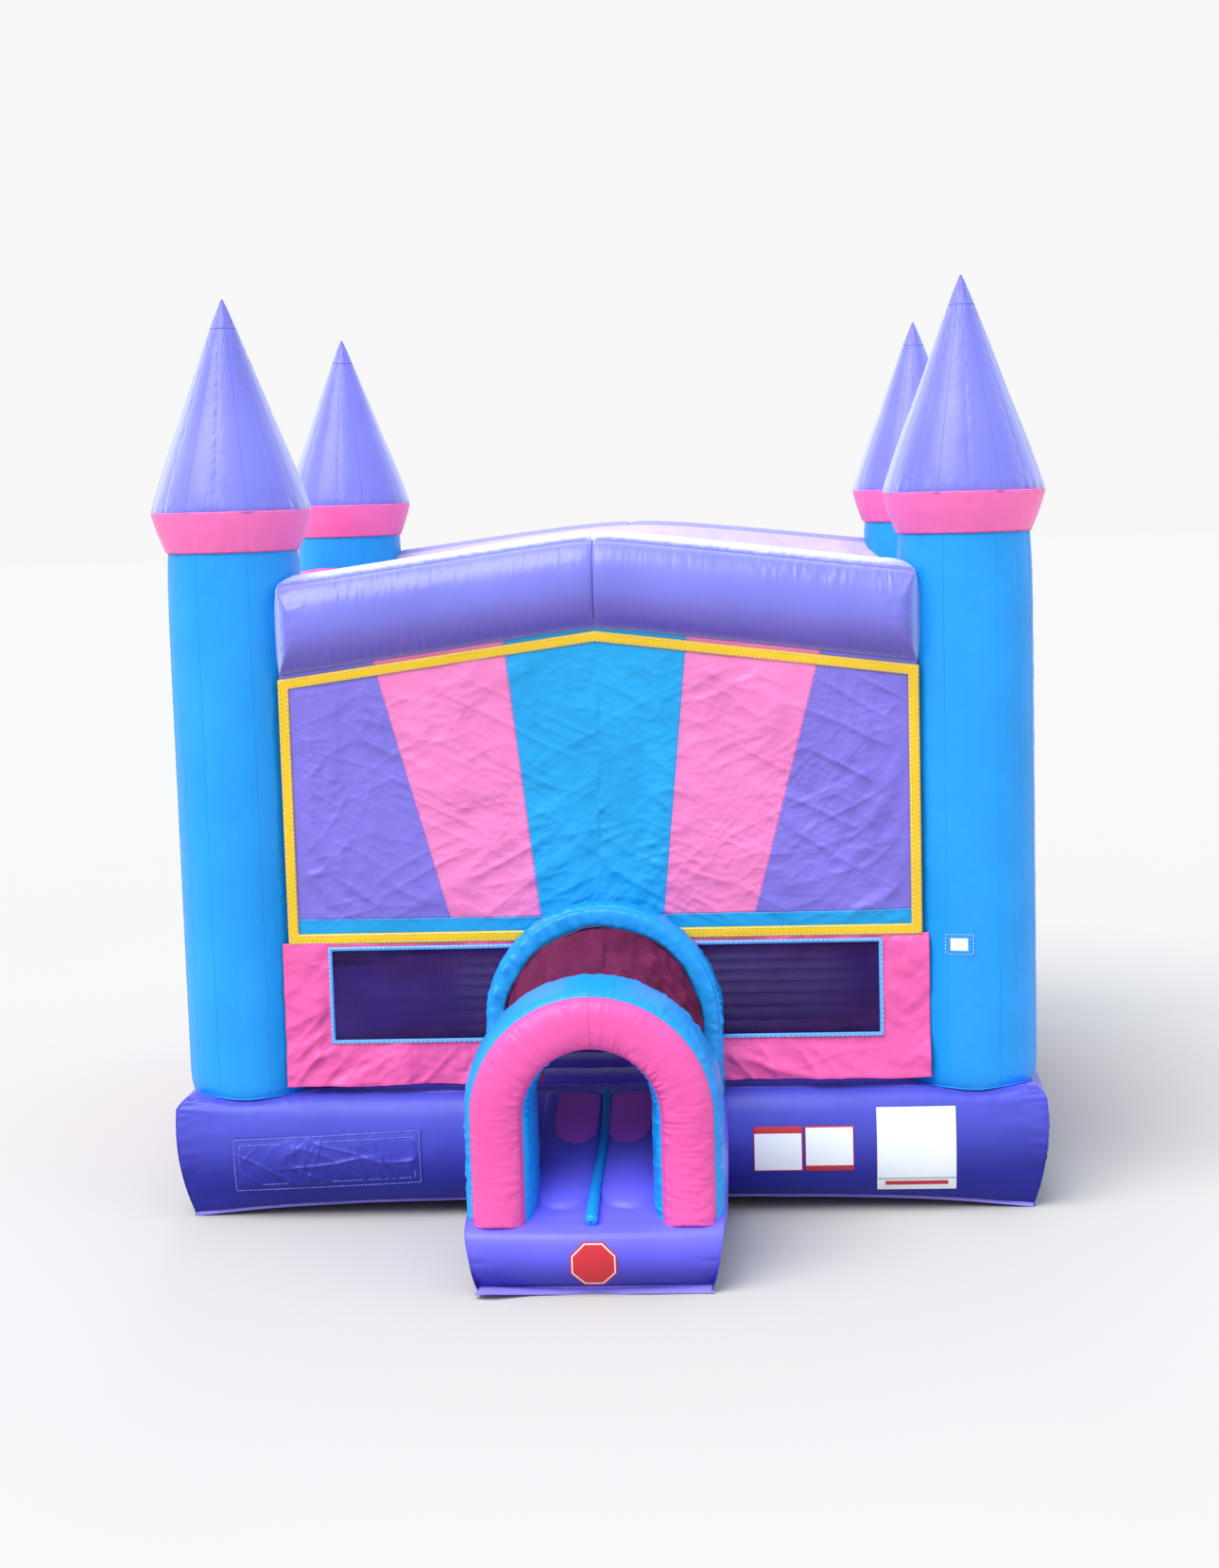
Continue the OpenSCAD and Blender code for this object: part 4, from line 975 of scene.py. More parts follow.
def entrance_arch():
    """The puffed arch over the ramp: the front panel is pink, the others blue."""
    r = sum(ARCH_R) / 2
    half_r = (ARCH_R[1] - ARCH_R[0]) / 2
    half_d = (ARCH_Y[1] - ARCH_Y[0]) / 2
    origin, out = arch_axes(r, ARCH_CZ, ARCH_FOOT, 90, 240)
    origin[..., 1] = (ARCH_Y[0] + ARCH_Y[1]) / 2
    rear = np.tile([0, 1.0, 0], (len(origin), 1))
    inner = 0.044 - 0.040 * np.clip(out[:, 2:], 0, 1)
    panels, ends, seams = pillow_bar(origin, out, rear, half_r, half_d, (0.040, 0.03, inner, 0.062), 201,
                                     n_across=32, end_reach=0.035, end_bulge=0.002, power=0.55, wave=0.024,
                                     depth=0.0100, end_depth=0.002)
    for p in panels + ends:
        leg = np.clip((ARCH_CZ - p[..., 2]) / (ARCH_CZ - ARCH_FOOT), 0, None)
        p[..., 2] += leg * np.clip(ramp_line_z(p[..., 1]) - 0.012 - ARCH_FOOT, 0, None)
    band = [surface(panels[k]) for k in (0, 1, 2)] + [surface(ends[0]), surface(ends[1], flip=True)]
    inflated("entrance_arch_skin", band, [M["blue"]], "vinyl_blue", ["entrance_arch_band"])
    inflated("entrance_arch_front", [surface(panels[3])], [M["pink"]], "vinyl_pink", ["entrance_arch_face"])
    lines = [tube(line, 0.002, 5) for line in seams]
    lines.append(tube(panels[3][len(origin) // 2], 0.0022, 5))
    piece("entrance_arch_seams", lines, [M["pink_piping"]], "vinyl_pink")


def doorway_arch():
    """The puffed arch round the way in through the wall, with the net's dark binding on its inside."""
    r = sum(DOOR_R) / 2
    half_r = (DOOR_R[1] - DOOR_R[0]) / 2
    half_d = (DOOR_Y[1] - DOOR_Y[0]) / 2
    origin, out = arch_axes(r, DOOR_CZ, BASE_TOP + 0.002, 40, 120)
    origin[..., 1] = (DOOR_Y[0] + DOOR_Y[1]) / 2
    rear = np.tile([0, 1.0, 0], (len(origin), 1))
    panels, ends, seams = pillow_bar(origin, out, rear, half_r, half_d, (0.016, 0.0, 0.006, 0.026), 231,
                                     n_across=28, end_reach=0.04, end_bulge=0.0, power=0.45, wave=0.022,
                                     depth=0.022)
    inflated("doorway_arch_skin", bar_parts(panels, ends), [M["blue"]], "vinyl_blue",
             ["doorway_arch_band", "doorway_arch_face"])
    edge, outward = arch_axes(NET_EDGE[0], DOOR_CZ, BASE_TOP + 0.01, 30, 90)
    edge[:, 1] = NET_EDGE[1]
    ripple = 0.008 * noise(stack(edge[:, 0], 0, edge[:, 2]), 0.07, 8)
    piece("doorway_binding", [tube(edge + outward * ripple[:, None], 0.0090, 8)], [M["navy"]], "vinyl_blue")
    piece("doorway_arch_seams", [tube(seams[0], 0.002, 5)], [M["blue_piping"]], "vinyl_blue")


# ---- draped cloth ----

def settled(p, cells, loose=None, slack=0.004, gravity=0.5, bending=0.3, frames=16, cap=0.03):
    """The grid of points after its cloth, cut a little too large, has settled between its held edges.

    cells says which quads are cloth. loose says which points of its open edges aren't held.
    """
    points, quads = surface(p)
    used, faces = np.unique(quads[cells.ravel()], return_inverse=True)
    faces = faces.reshape(-1, 4)
    start = points[used]
    held = border(faces)
    if loose is not None:
        held = held[~loose.ravel()[used[held]]]
    mesh = bpy.data.meshes.new("settling")
    mesh.from_pydata(start.tolist(), [], faces.tolist())
    obj = bpy.data.objects.new("settling", mesh)
    scene = bpy.context.scene
    scene.collection.objects.link(obj)
    obj.vertex_groups.new(name="held").add(held.tolist(), 1.0, "REPLACE")
    cloth = obj.modifiers.new("cloth", "CLOTH")
    settings = cloth.settings
    settings.vertex_group_mass = "held"
    settings.quality = 5
    settings.mass = 0.25
    settings.tension_stiffness = settings.compression_stiffness = 30
    settings.shear_stiffness = 10
    settings.bending_stiffness = bending
    settings.shrink_min = -slack
    settings.effector_weights.gravity = gravity
    cloth.collision_settings.use_collision = False
    cloth.point_cache.frame_start, cloth.point_cache.frame_end = 1, frames
    for i in range(1, frames + 1):
        scene.frame_set(i)
    shown = obj.evaluated_get(bpy.context.evaluated_depsgraph_get())
    move = np.array([v.co for v in shown.data.vertices]) - start
    bpy.data.objects.remove(obj)
    scene.frame_set(1)
    far = np.linalg.norm(move, axis=1, keepdims=True)
    points[used] = start + move * np.minimum(1, cap / np.maximum(far, 1e-9))
    return points.reshape(p.shape)


def finer(p, cells, times=2):
    """The grid and its cells with every side of a cell split."""
    for axis in (0, 1):
        last = p.shape[axis] - 1
        at = np.linspace(0, last, last * times + 1)
        before = np.minimum(at.astype(int), last - 1)
        share = (at - before)[:, None, None] if axis == 0 else (at - before)[None, :, None]
        p = np.take(p, before, axis) * (1 - share) + np.take(p, before + 1, axis) * share
        cells = np.repeat(cells, times, axis)
    return p, cells


def cut(p, cells):
    """Points and quads of only those cells of a grid that are cloth."""
    points, quads = surface(p)
    used, faces = np.unique(quads[cells.ravel()], return_inverse=True)
    return points[used], faces.reshape(-1, 4)


def cell_centres(p):
    return (p[:-1, :-1] + p[1:, :-1] + p[1:, 1:] + p[:-1, 1:]) / 4


def thicken(obj, thickness=0.0015, offset=1):
    """Gives a sheet the thickness of its cloth."""
    modifier = obj.modifiers.new("thickness", "SOLIDIFY")
    modifier.thickness, modifier.offset = thickness, offset


def lines_between(marks, step):
    """Grid lines about step apart that include every mark."""
    out = []
    for a, b in zip(marks[:-1], marks[1:]):
        out += list(np.linspace(a, b, max(1, round((b - a) / step)), endpoint=False))
    return np.array(out + [marks[-1]])


def border(quads):
    """Numbers of the points on a mesh's open edges."""
    edges = np.sort(np.concatenate([quads[:, [k, (k + 1) % 4]] for k in range(4)]), axis=1)
    unique, count = np.unique(edges, axis=0, return_counts=True)
    return np.unique(unique[count == 1])


def frame_top(x):
    """Height of the banner frame's outer top edge."""
    return FRAME_PEAK - GABLE_SLOPE * np.abs(x)


def banner():
    """The five-stripe banner: one simulated sheet, cut into its coloured panels along the stripes."""
    edge = FRAME_HW - 0.006
    marks = [-edge, -STRIPE_LOW[0], -STRIPE_LOW[1], STRIPE_LOW[1], STRIPE_LOW[0], edge]
    top_marks = [-edge, -STRIPE_TOP[0], -STRIPE_TOP[1], STRIPE_TOP[1], STRIPE_TOP[0], edge]
    low_x = lines_between(marks, 0.02)
    top_x = np.interp(low_x, marks, top_marks)
    rows = [stack(low_x, 0, z) for z in np.linspace(FRAME_LOW + 0.008, SASH_HIGH, 7)]
    sash_cells = len(rows) - 1
    for f in np.linspace(0, 1, 60)[1:]:
        x = low_x + (top_x - low_x) * f
        beyond = (top_x - low_x) * (frame_top(x) - STRIPE_TOP_Z) / (STRIPE_TOP_Z - SASH_HIGH) * f
        x = np.clip(x + beyond, -edge, edge)
        rows.append(stack(x, 0, SASH_HIGH + (frame_top(x) + 0.02 - SASH_HIGH) * f))
    p = np.stack(rows, axis=1)
    cells = np.ones((p.shape[0] - 1, p.shape[1] - 1), bool)
    p[..., 1] = -WALL_Y - 0.001 - 0.006 * crumple(p[..., 0], p[..., 2], 5)
    split = 3
    p, cells = finer(settled(p, cells, slack=0.003, gravity=0.3), cells, split)
    x, z = p[..., 0], p[..., 2]
    inside = np.minimum(np.minimum(edge - np.abs(x), z - FRAME_LOW), frame_top(x) - z)
    fade = np.clip((inside - 0.03) / 0.10, 0, 1)
    wrinkles = 0.0025 * crumple(x, z, 5) + 0.0045 * crumple(x, z, 95, 0.10)
    wrinkles = wrinkles + 0.012 * long_folds(x, z, 0.5, 0.075, 21) + 0.008 * long_folds(x, z, -0.45, 0.06, 33)
    p[..., 1] = -WALL_Y - 0.002 + np.minimum(p[..., 1] + WALL_Y, 0) * fade - wrinkles * fade
    sash_row = sash_cells * split
    cell_x = np.abs(np.repeat(low_x[:-1] + low_x[1:], split)) / 2
    stripe = np.searchsorted([STRIPE_LOW[1], STRIPE_LOW[0]], cell_x)
    in_sash = np.arange(cells.shape[1])[None, :] < sash_row
    stripe = np.where(in_sash, 0, stripe[:, None])
    for k, (colour, area) in enumerate((("blue", 1.19), ("pink", 1.20), ("purple", 1.35))):
        made = piece(f"banner_{colour}", [cut(p, stripe == k)], [M[f"{colour}_cloth"]], f"vinyl_{colour}",
                     [f"banner_{colour}_panels"])
        thicken(made)
    threads = []
    fine_x = np.interp(np.arange(len(p)), split * np.arange(len(low_x)), low_x)
    for mark in marks[1:-1]:
        line = p[int(np.abs(fine_x - mark).argmin()), sash_row:] + [0, -0.002, 0]
        for dx in (-0.006, 0.006):
            threads += stitch_parts(line + [dx, 0, 0], (0, -1, 0), pitch=0.02)
    threads += stitch_parts(p[:, sash_row] + [0, -0.002, -0.006], (0, -1, 0), pitch=0.02)
    return threads


def banner_outline(inset):
    """Corners of the banner's frame, going round, drawn in by an inset."""
    hw = FRAME_HW - inset
    return [(-hw, FRAME_LOW + inset), (hw, FRAME_LOW + inset), (hw, frame_top(hw) - inset),
            (0, FRAME_PEAK - inset), (-hw, frame_top(hw) - inset)]


def upright_loop(corners, y, step=0.02):
    """Points round a closed outline given by its (x, z) corners."""
    path = []
    for (x0, z0), (x1, z1) in zip(corners, corners[1:] + corners[:1]):
        n = max(2, round(math.hypot(x1 - x0, z1 - z0) / step))
        f = np.linspace(0, 1, n, endpoint=False)
        path.append(stack(x0 + (x1 - x0) * f, y, z0 + (z1 - z0) * f))
    return np.concatenate(path)


def matched_loops(outer, inner, step=0.02):
    """Two closed loops of the same number of points, from matching corners."""
    pair = []
    for (a, b), (c, d) in zip(zip(outer, outer[1:] + outer[:1]), zip(inner, inner[1:] + inner[:1])):
        n = max(2, round(math.dist(a, b) / step))
        f = np.linspace(0, 1, n, endpoint=False)[:, None]
        pair.append((np.array(a) * (1 - f) + np.array(b) * f, np.array(c) * (1 - f) + np.array(d) * f))
    return np.concatenate([p[0] for p in pair]), np.concatenate([p[1] for p in pair])


def tape(outer, inner, y, crown_height, seed, thickness=0.003):
    """A flat band between two outlines, slightly padded, with a small waviness."""
    a, b = matched_loops(outer, inner)
    t = np.linspace(0, 1, 7)[None, :]
    flat = a[:, None] * (1 - t[..., None]) + b[:, None] * t[..., None]
    p = stack(flat[..., 0], y, flat[..., 1])
    p[..., 1] = y - crown_height * crown(t) - 0.002 * noise(p, 0.12, seed)
    back = p.copy()
    back[..., 1] = y + thickness
    loop = np.concatenate([p, back[:, ::-1]], axis=1)
    return surface(loop, wrap_u=True, wrap_v=True)


def banner_frame():
    y = -WALL_Y - 0.010
    piece("banner_frame_tape", [tape(banner_outline(-0.002), banner_outline(BAND), y, 0.004, 3)],
          [M["yellow"]], "trim_yellow", ["banner_frame"])
    threads = []
    for inset in (0.007, BAND - 0.007):
        loop = looped(upright_loop(banner_outline(inset), y - 0.005))
        threads += stitch_parts(loop, (0, -1, 0), pitch=0.02, length=0.012)
    piece("frame_stitching", threads, [M["pale_thread"]], "trim_yellow")


# ---- walls and windows ----

def rectangle(x0, x1, z0, z1, grow=0.0):
    return [(x0 - grow, z0 - grow), (x1 + grow, z0 - grow), (x1 + grow, z1 + grow), (x0 - grow, z1 + grow)]


def in_arch(x, z, r):
    """Whether a place on the wall is inside the doorway's outline of that radius."""
    return np.where(z > DOOR_CZ, np.hypot(x, z - DOOR_CZ) < r, np.abs(x) < r)


def in_front_window(x, z):
    inside = (np.abs(x) < WINDOW_OUT) & (z > WINDOW_Z[0]) & (z < WINDOW_Z[1])
    return inside & ~in_arch(x, z, WINDOW_IN_R)


def front_skirt():
    """The slack lower panel with the doorway and the two windows in it, loose at its hem."""
    wide = PANEL_HW + 0.006
    xs = lines_between([-wide, -WINDOW_OUT, WINDOW_OUT, wide], 0.018)
    zs = lines_between([BASE_TOP + 0.045, WINDOW_Z[0], WINDOW_Z[1], FRAME_LOW + 0.004], 0.017)
    x, z = np.meshgrid(xs, zs, indexing="ij")
    flare = np.clip((WINDOW_Z[0] - z) / 0.2, 0, 1.2)
    p = stack(x, -WALL_Y - 0.003 - 0.020 * flare**1.5 - 0.008 * crumple(x, z, 41, 0.24), z)
    centre = cell_centres(p)
    at_x, at_z = centre[..., 0], centre[..., 2]
    cells = ~in_front_window(at_x, at_z) & ~in_arch(at_x, at_z, ARCH_R[0])
    loose = z < zs[0] + 0.002
    p, cells = finer(settled(p, cells, loose, slack=0.006, gravity=0.6, frames=20, cap=0.05), cells, 2)
    x, z = p[..., 0], p[..., 2]
    sill = np.clip(np.abs(z - (WINDOW_Z[0] + WINDOW_Z[1]) / 2) - 0.23, 0, 1)
    beside = np.clip(np.abs(x) - WINDOW_OUT - 0.016, 0, 1)
    fade = np.clip(np.maximum(sill, beside) / 0.05, 0, 1) * np.clip((FRAME_LOW - z) / 0.03, 0, 1)
    lower = 1 + 1.2 * np.clip((WINDOW_Z[0] - z) / 0.2, 0, 1)
    folds = 0.022 * long_folds(x, z, 0.5, 0.10, 41) + 0.010 * long_folds(x, z, 0.8, 0.055, 77)
    folds = folds + 0.003 * crumple(x, z, 87, 0.14)
    p[..., 1] -= folds * fade * lower
    p[..., 1] = np.clip(p[..., 1], -WALL_Y - 0.075, -WALL_Y)
    p[..., 2] += 0.006 * ripple(x, 0.22, 3) * np.clip((0.68 - z) / 0.08, 0, 1)
    skirt = piece("front_skirt", [cut(p, cells)], [M["skirt"]], "vinyl_pink", ["wall_front_lower"])
    thicken(skirt)
    hem = p[:, 0]
    kept = np.concatenate([cells[:1, 0], cells[:, 0]])
    lines = [hem[kept & (hem[:, 0] * side > 0)] for side in (-1, 1)]
    piece("skirt_hem", [tube(line + [0, -0.002, 0.001], 0.003, 5) for line in lines], [M["pink_piping"]],
          "vinyl_pink")


def window_outline(grow, n=24):
    """Corners of the right front window, whose inner end follows the doorway, grown by a margin."""
    r = WINDOW_IN_R - grow
    z0, z1 = WINDOW_Z[0] - grow, WINDOW_Z[1] + grow
    top = math.acos(min((z1 - DOOR_CZ) / r, 1))
    bend = [(r * math.cos(a), DOOR_CZ + r * math.sin(a)) for a in np.linspace(math.pi / 2 - top, 0, n)]
    return [(r, z0), (WINDOW_OUT + grow, z0), (WINDOW_OUT + grow, z1)] + bend


def window_sets():
    """Every window: its outline as a function of a margin, and the quarter turns of its wall."""
    hw, z0, z1 = SIDE_WINDOW

    def left(grow):
        return [(-x, z) for x, z in window_outline(grow)]

    def side(grow):
        return rectangle(-hw, hw, z0, z1, grow)

    return [(window_outline, 0), (left, 0), (side, 1), (side, 2), (side, 3)]


def windows():
    bindings, threads = [], []
    for outline, quarter in window_sets():
        y = -WALL_Y - 0.012
        part = tape(outline(BINDING * 0.5), outline(-BINDING * 0.5), y, 0.004, 7)
        bindings.append((turned(part[0], quarter), part[1]))
        loop = looped(upright_loop(outline(BINDING * 0.25), y - 0.005))
        outward = turned(np.array([0, -1.0, 0]), quarter)
        threads += stitch_parts(turned(loop, quarter), outward, pitch=0.022, length=0.012)
    nets, area = [], 0
    openings = [(WINDOW_OUT, *WINDOW_Z), SIDE_WINDOW, SIDE_WINDOW, SIDE_WINDOW]
    for quarter, (hw, z0, z1) in enumerate(openings):
        u, v = mesh_grid(126, 24)
        x, z = -hw + 2 * hw * u, z0 + (z1 - z0) * v
        bow = 0.008 * crown(v, 4) + 0.003 * noise(stack(x, 0, z), 0.3, 3)
        p = stack(x, -WALL_Y + 0.004 - bow, z)
        centre = cell_centres(p)
        cells = np.ones(centre.shape[:2], bool)
        if quarter == 0:
            cells = ~in_arch(centre[..., 0], centre[..., 2], WINDOW_IN_R - 0.03)
        points, quads = cut(p, cells)
        nets.append((turned(points, quarter), quads))
        area += 2 * hw * (z1 - z0) * cells.mean()
    piece("window_bindings_sewn", bindings, [M["light_blue"]], "vinyl_blue", ["window_bindings"])
    piece("window_stitching", threads, [M["pale_thread"]], "vinyl_blue")
    obj = piece("window_net_panels", nets, [M["net"]], "netting", ["window_nets"])


def wall_top(x, quarter):
    """Height of a wall's top edge, which is tucked into the beam over it."""
    if quarter == 2:
        return beam_centre_z(x, 1) - BEAM_HALF[1] + 0.03
    return middle("beam_right").z - SIDE_BEAM_HALF[1] + 0.03 + 0 * x


def netted_wall(name, quarter, seed):
    """A left, right or rear wall: a sheet with one big window, slack between its held edges."""
    hw, z0, z1 = SIDE_WINDOW
    xs = lines_between([-PANEL_HW, -hw, hw, PANEL_HW], 0.03)
    zs = lines_between([BASE_TOP + 0.004, z0, z1, BEAM_LOW + 0.02], 0.03)
    x, z = np.meshgrid(xs, zs, indexing="ij")
    rise = (wall_top(x, quarter) - z1) / (zs[-1] - z1)
    z = np.where(z > z1, z1 + (z - z1) * rise, z)
    to_edge = np.minimum(np.minimum(PANEL_HW - np.abs(x), z - zs[0]), wall_top(x, quarter) - z)
    p = stack(x, -WALL_Y - 0.002 - 0.010 * np.clip(to_edge / 0.15, 0, 1), z)
    centre = cell_centres(p)
    cells = (np.abs(centre[..., 0]) > hw) | (centre[..., 2] < z0) | (centre[..., 2] > z1)
    p, cells = finer(settled(p, cells, slack=0.006, gravity=0.5, frames=12), cells, 2)
    x, z = p[..., 0], p[..., 2]
    off = np.maximum(np.abs(x) - hw, np.maximum(z0 - z, z - z1))
    p[..., 1] -= 0.008 * crumple(x, z, seed, 0.25) * np.clip((off - 0.015) / 0.06, 0, 1)
    points, quads = cut(p, cells)
    wall = piece(f"{name}_sheet", [(turned(points, quarter), quads)], [M["pink_cloth"]], "vinyl_pink", [name])
    thicken(wall, 0.002)


def roof_cover():
    """The rain cover: it is laced over the beams and sags between them."""
    half_x = half_y = BEAM_Y - BEAM_HALF[0] + 0.02
    u, v = mesh_grid(91, 91)
    x, y = (2 * u - 1) * half_x, (2 * v - 1) * half_y
    beam_top = beam_top_z(x, y) + 0.003
    side_top = side_beam_top_z(x) + 0.003
    lap, to_side_run = 1.57, 0.57
    rest = np.where(np.abs(y) > lap, beam_top, 0)
    rest = np.maximum(rest, np.where(np.abs(x) > lap, side_top, 0))
    inside = np.clip((lap - np.maximum(np.abs(x), np.abs(y))) / 0.5, 0, 1)
    to_side = np.clip((np.abs(x) - lap + to_side_run) / to_side_run, 0, 1) ** 2
    to_side = to_side * np.clip((lap - np.abs(y)) / 0.15, 0, 1)
    held = beam_top + (side_top - beam_top) * to_side
    z = np.maximum(held - 0.15 * np.sin(inside * math.pi / 2) ** 2, rest)
    p = stack(x, y, z)
    centre = cell_centres(p)
    cells = np.ones(centre.shape[:2], bool)
    for tower in TOWERS.values():
        cells &= np.hypot(centre[..., 0] - tower.x, centre[..., 1] - tower.y) > COLUMN_R - 0.05
    p = settled(p, cells, slack=0.004, gravity=0.5, frames=10)
    p[..., 2] = np.maximum(p[..., 2], rest)
    p, cells = finer(p, cells, 2)
    to_edge = half_x - np.maximum(np.abs(p[..., 0]), np.abs(p[..., 1]))
    p[..., 2] += 0.006 * crumple(p[..., 0], p[..., 1], 61, 0.3) * np.clip(to_edge / 0.12, 0, 1)
    cover = piece("roof_sheet", [cut(p, cells)], [M["roof"]], "vinyl_pink", ["roof_cover"])
    thicken(cover, 0.002, 0)


def tunnel_net():
    """The net from the doorway arch's inside edge down to the back of the entrance arch."""
    n_rows = 24
    rear, rear_out = arch_axes(NET_EDGE[0], DOOR_CZ, BASE_TOP + 0.01, 20, 60)
    front, _ = arch_axes(ARCH_R[1] - 0.045, ARCH_CZ, 0.40, 20, 60)
    rear[:, 1] = NET_EDGE[1] + 0.002
    front[:, 1] = ARCH_Y[1] + 0.035
    t = np.linspace(0, 1, n_rows)[None, :, None]
    p = rear[:, None] * (1 - t) + front[:, None] * t
    sag = np.sin(math.pi * t[..., 0]) * (0.022 + 0.006 * noise(p, (0.12, 0.8, 0.12), 9))
    p = p - rear_out[:, None] * sag[..., None]
    cells = np.ones((p.shape[0] - 1, p.shape[1] - 1), bool)
    p, cells = finer(settled(p, cells, slack=0.02, gravity=0.8, bending=0.15, frames=18, cap=0.05), cells, 2)
    over = np.arctan2(p[..., 0], p[..., 2] - 0.8) * 0.45
    folds = crumple(over, p[..., 1] * 0.7, 17, 0.16)
    out = finer(np.repeat(rear_out[:, None], n_rows, axis=1), cells[::2, ::2], 2)[0]
    ends = np.sin(math.pi * np.linspace(0, 1, p.shape[1]))[None, :] ** 0.5
    p = p + out * (0.024 * folds * ends)[..., None]
    net = piece("tunnel_net_sheet", [surface(p)], [M["canopy"]], "netting", ["tunnel_net"])
    piece("tunnel_net_binding", [tube(front, 0.006, 6)], [M["navy"]], "netting")


# ---- patches on the base, ramp and column ----

def base_patch(x0, x1, z0, z1, proud=0.006, sink=0.003, n=24):
    u, v = mesh_grid(n, n)
    x, z = x0 + (x1 - x0) * u, z0 + (z1 - z0) * v
    edge = np.minimum(np.minimum(u, 1 - u), np.minimum(v, 1 - v)) * 2
    return stack(x, base_front_y(x, z) - proud + sink * (1 - np.clip(edge * 8, 0, 1)), z)


def labels():
    """Blank panels in place of the printed ones: white with thin red edges, and a red eight-sided one."""
    foot_z, head_z, edge = 0.206, 0.411, 0.004
    red, white, grey = [], [], []
    for x0, x1, foot_band, head_band in ((0.654, 0.872, 0.006, 0.030), (0.883, 1.101, 0.026, 0.006)):
        inner = base_patch(x0 + edge, x1 - edge, foot_z + foot_band, head_z - head_band, 0.0068, 0.0)
        red.append(surface(base_patch(x0, x1, foot_z, head_z, 0.006)))
        white.append(surface(inner))
    white.append(surface(base_patch(1.204, 1.556, 0.104, 0.486, 0.0065)))
    grey.append(surface(base_patch(1.207, 1.553, 0.158, 0.166, 0.0072, 0.0)))
    red.append(surface(base_patch(1.24, 1.52, 0.130, 0.150, 0.0072, 0.0)))
    angle = full_turn(64)[:, None]
    eighth = math.pi / 4
    reach = math.cos(eighth / 2) / np.cos(angle - np.round(angle / eighth) * eighth)
    stop = []
    for size, proud in ((1.0, 0.0030), (0.93, 0.0038), (0.88, 0.0046)):
        r = size * reach * np.linspace(1, 0.01, 10)[None, :]
        x, z = STOP_HALF[0] * r * np.cos(angle), STOP_Z + STOP_HALF[1] * r * np.sin(angle)
        stop.append(surface(stack(x, ramp_front_y(x, z) - proud, z), wrap_u=True))
    piece("label_panels", white + [stop[1]], [M["white"]], "label_white", ["label_patches"])
    piece("label_bands", red + [stop[0], stop[2]], [M["red"]], "label_white")
    piece("label_lines", grey, [M["grey"]], "label_white")


def sign_pocket():
    """A slack pocket with a double row of stitching round it."""
    x0, x1, z0, z1, tilt = -1.705, -0.842, 0.150, 0.402, 0.045
    u, v = mesh_grid(180, 60)
    x, z = x0 + (x1 - x0) * u, z0 + (z1 - z0) * v
    edge = np.minimum(np.minimum(u * 0.86, (1 - u) * 0.86), np.minimum(v, 1 - v) * 0.25)
    slack = np.clip(edge / 0.05, 0, 1)
    z = z + tilt * (x - (x0 + x1) / 2)
    folds = 0.012 * crumple(x, z * 1.2, 4, 0.15) + 0.008 * crumple(z, x, 14, 0.10)
    y = base_front_y(x, z) - 0.005 - slack * (0.002 + folds)
    piece("sign_pocket_cloth", [surface(stack(x, y, z))], [M["purple_base"]], "vinyl_purple", ["sign_pocket"])
    threads = []
    for inset in (0.006, 0.032):
        loop = looped(upright_loop(rectangle(x0, x1, z0, z1, -inset), 0))
        loop[:, 2] += tilt * (loop[:, 0] - (x0 + x1) / 2)
        loop[:, 1] = base_front_y(loop[:, 0], loop[:, 2]) - 0.009
        threads += stitch_parts(loop, (0, -1, 0), length=0.011, wide=0.0018)
    return threads


def tag_pocket():
    tower = TOWERS["front_right"]
    parts, threads = [], []
    for half_w, half_h, proud, look in ((0.062, 0.045, 0.006, 0), (0.038, 0.028, 0.009, 1)):
        u, v = mesh_grid(20, 14)
        angle = TAG_ANGLE + (2 * u - 1) * half_w / COLUMN_R
        r = COLUMN_R + proud + 0.002 * crown(u) * crown(v)
        p = around(tower, r, angle, TAG_Z + (2 * v - 1) * half_h)
        parts.append(surface(p))
        if look == 0:
            rim = np.concatenate([p[:, 0], p[-1], p[::-1, -1], p[0, ::-1]])
            threads += stitch_parts(rim + [0, -0.002, 0], (0.2, -0.98, 0))
    piece("tag_pocket_cloth", parts, [M["blue"], M["white"]], "label_white", ["tag_pocket"],
          part_material=[0, 1])
    piece("tag_stitching", threads, [M["pale_thread"]], "label_white")


# ---- sleeve, vent and anchors ----

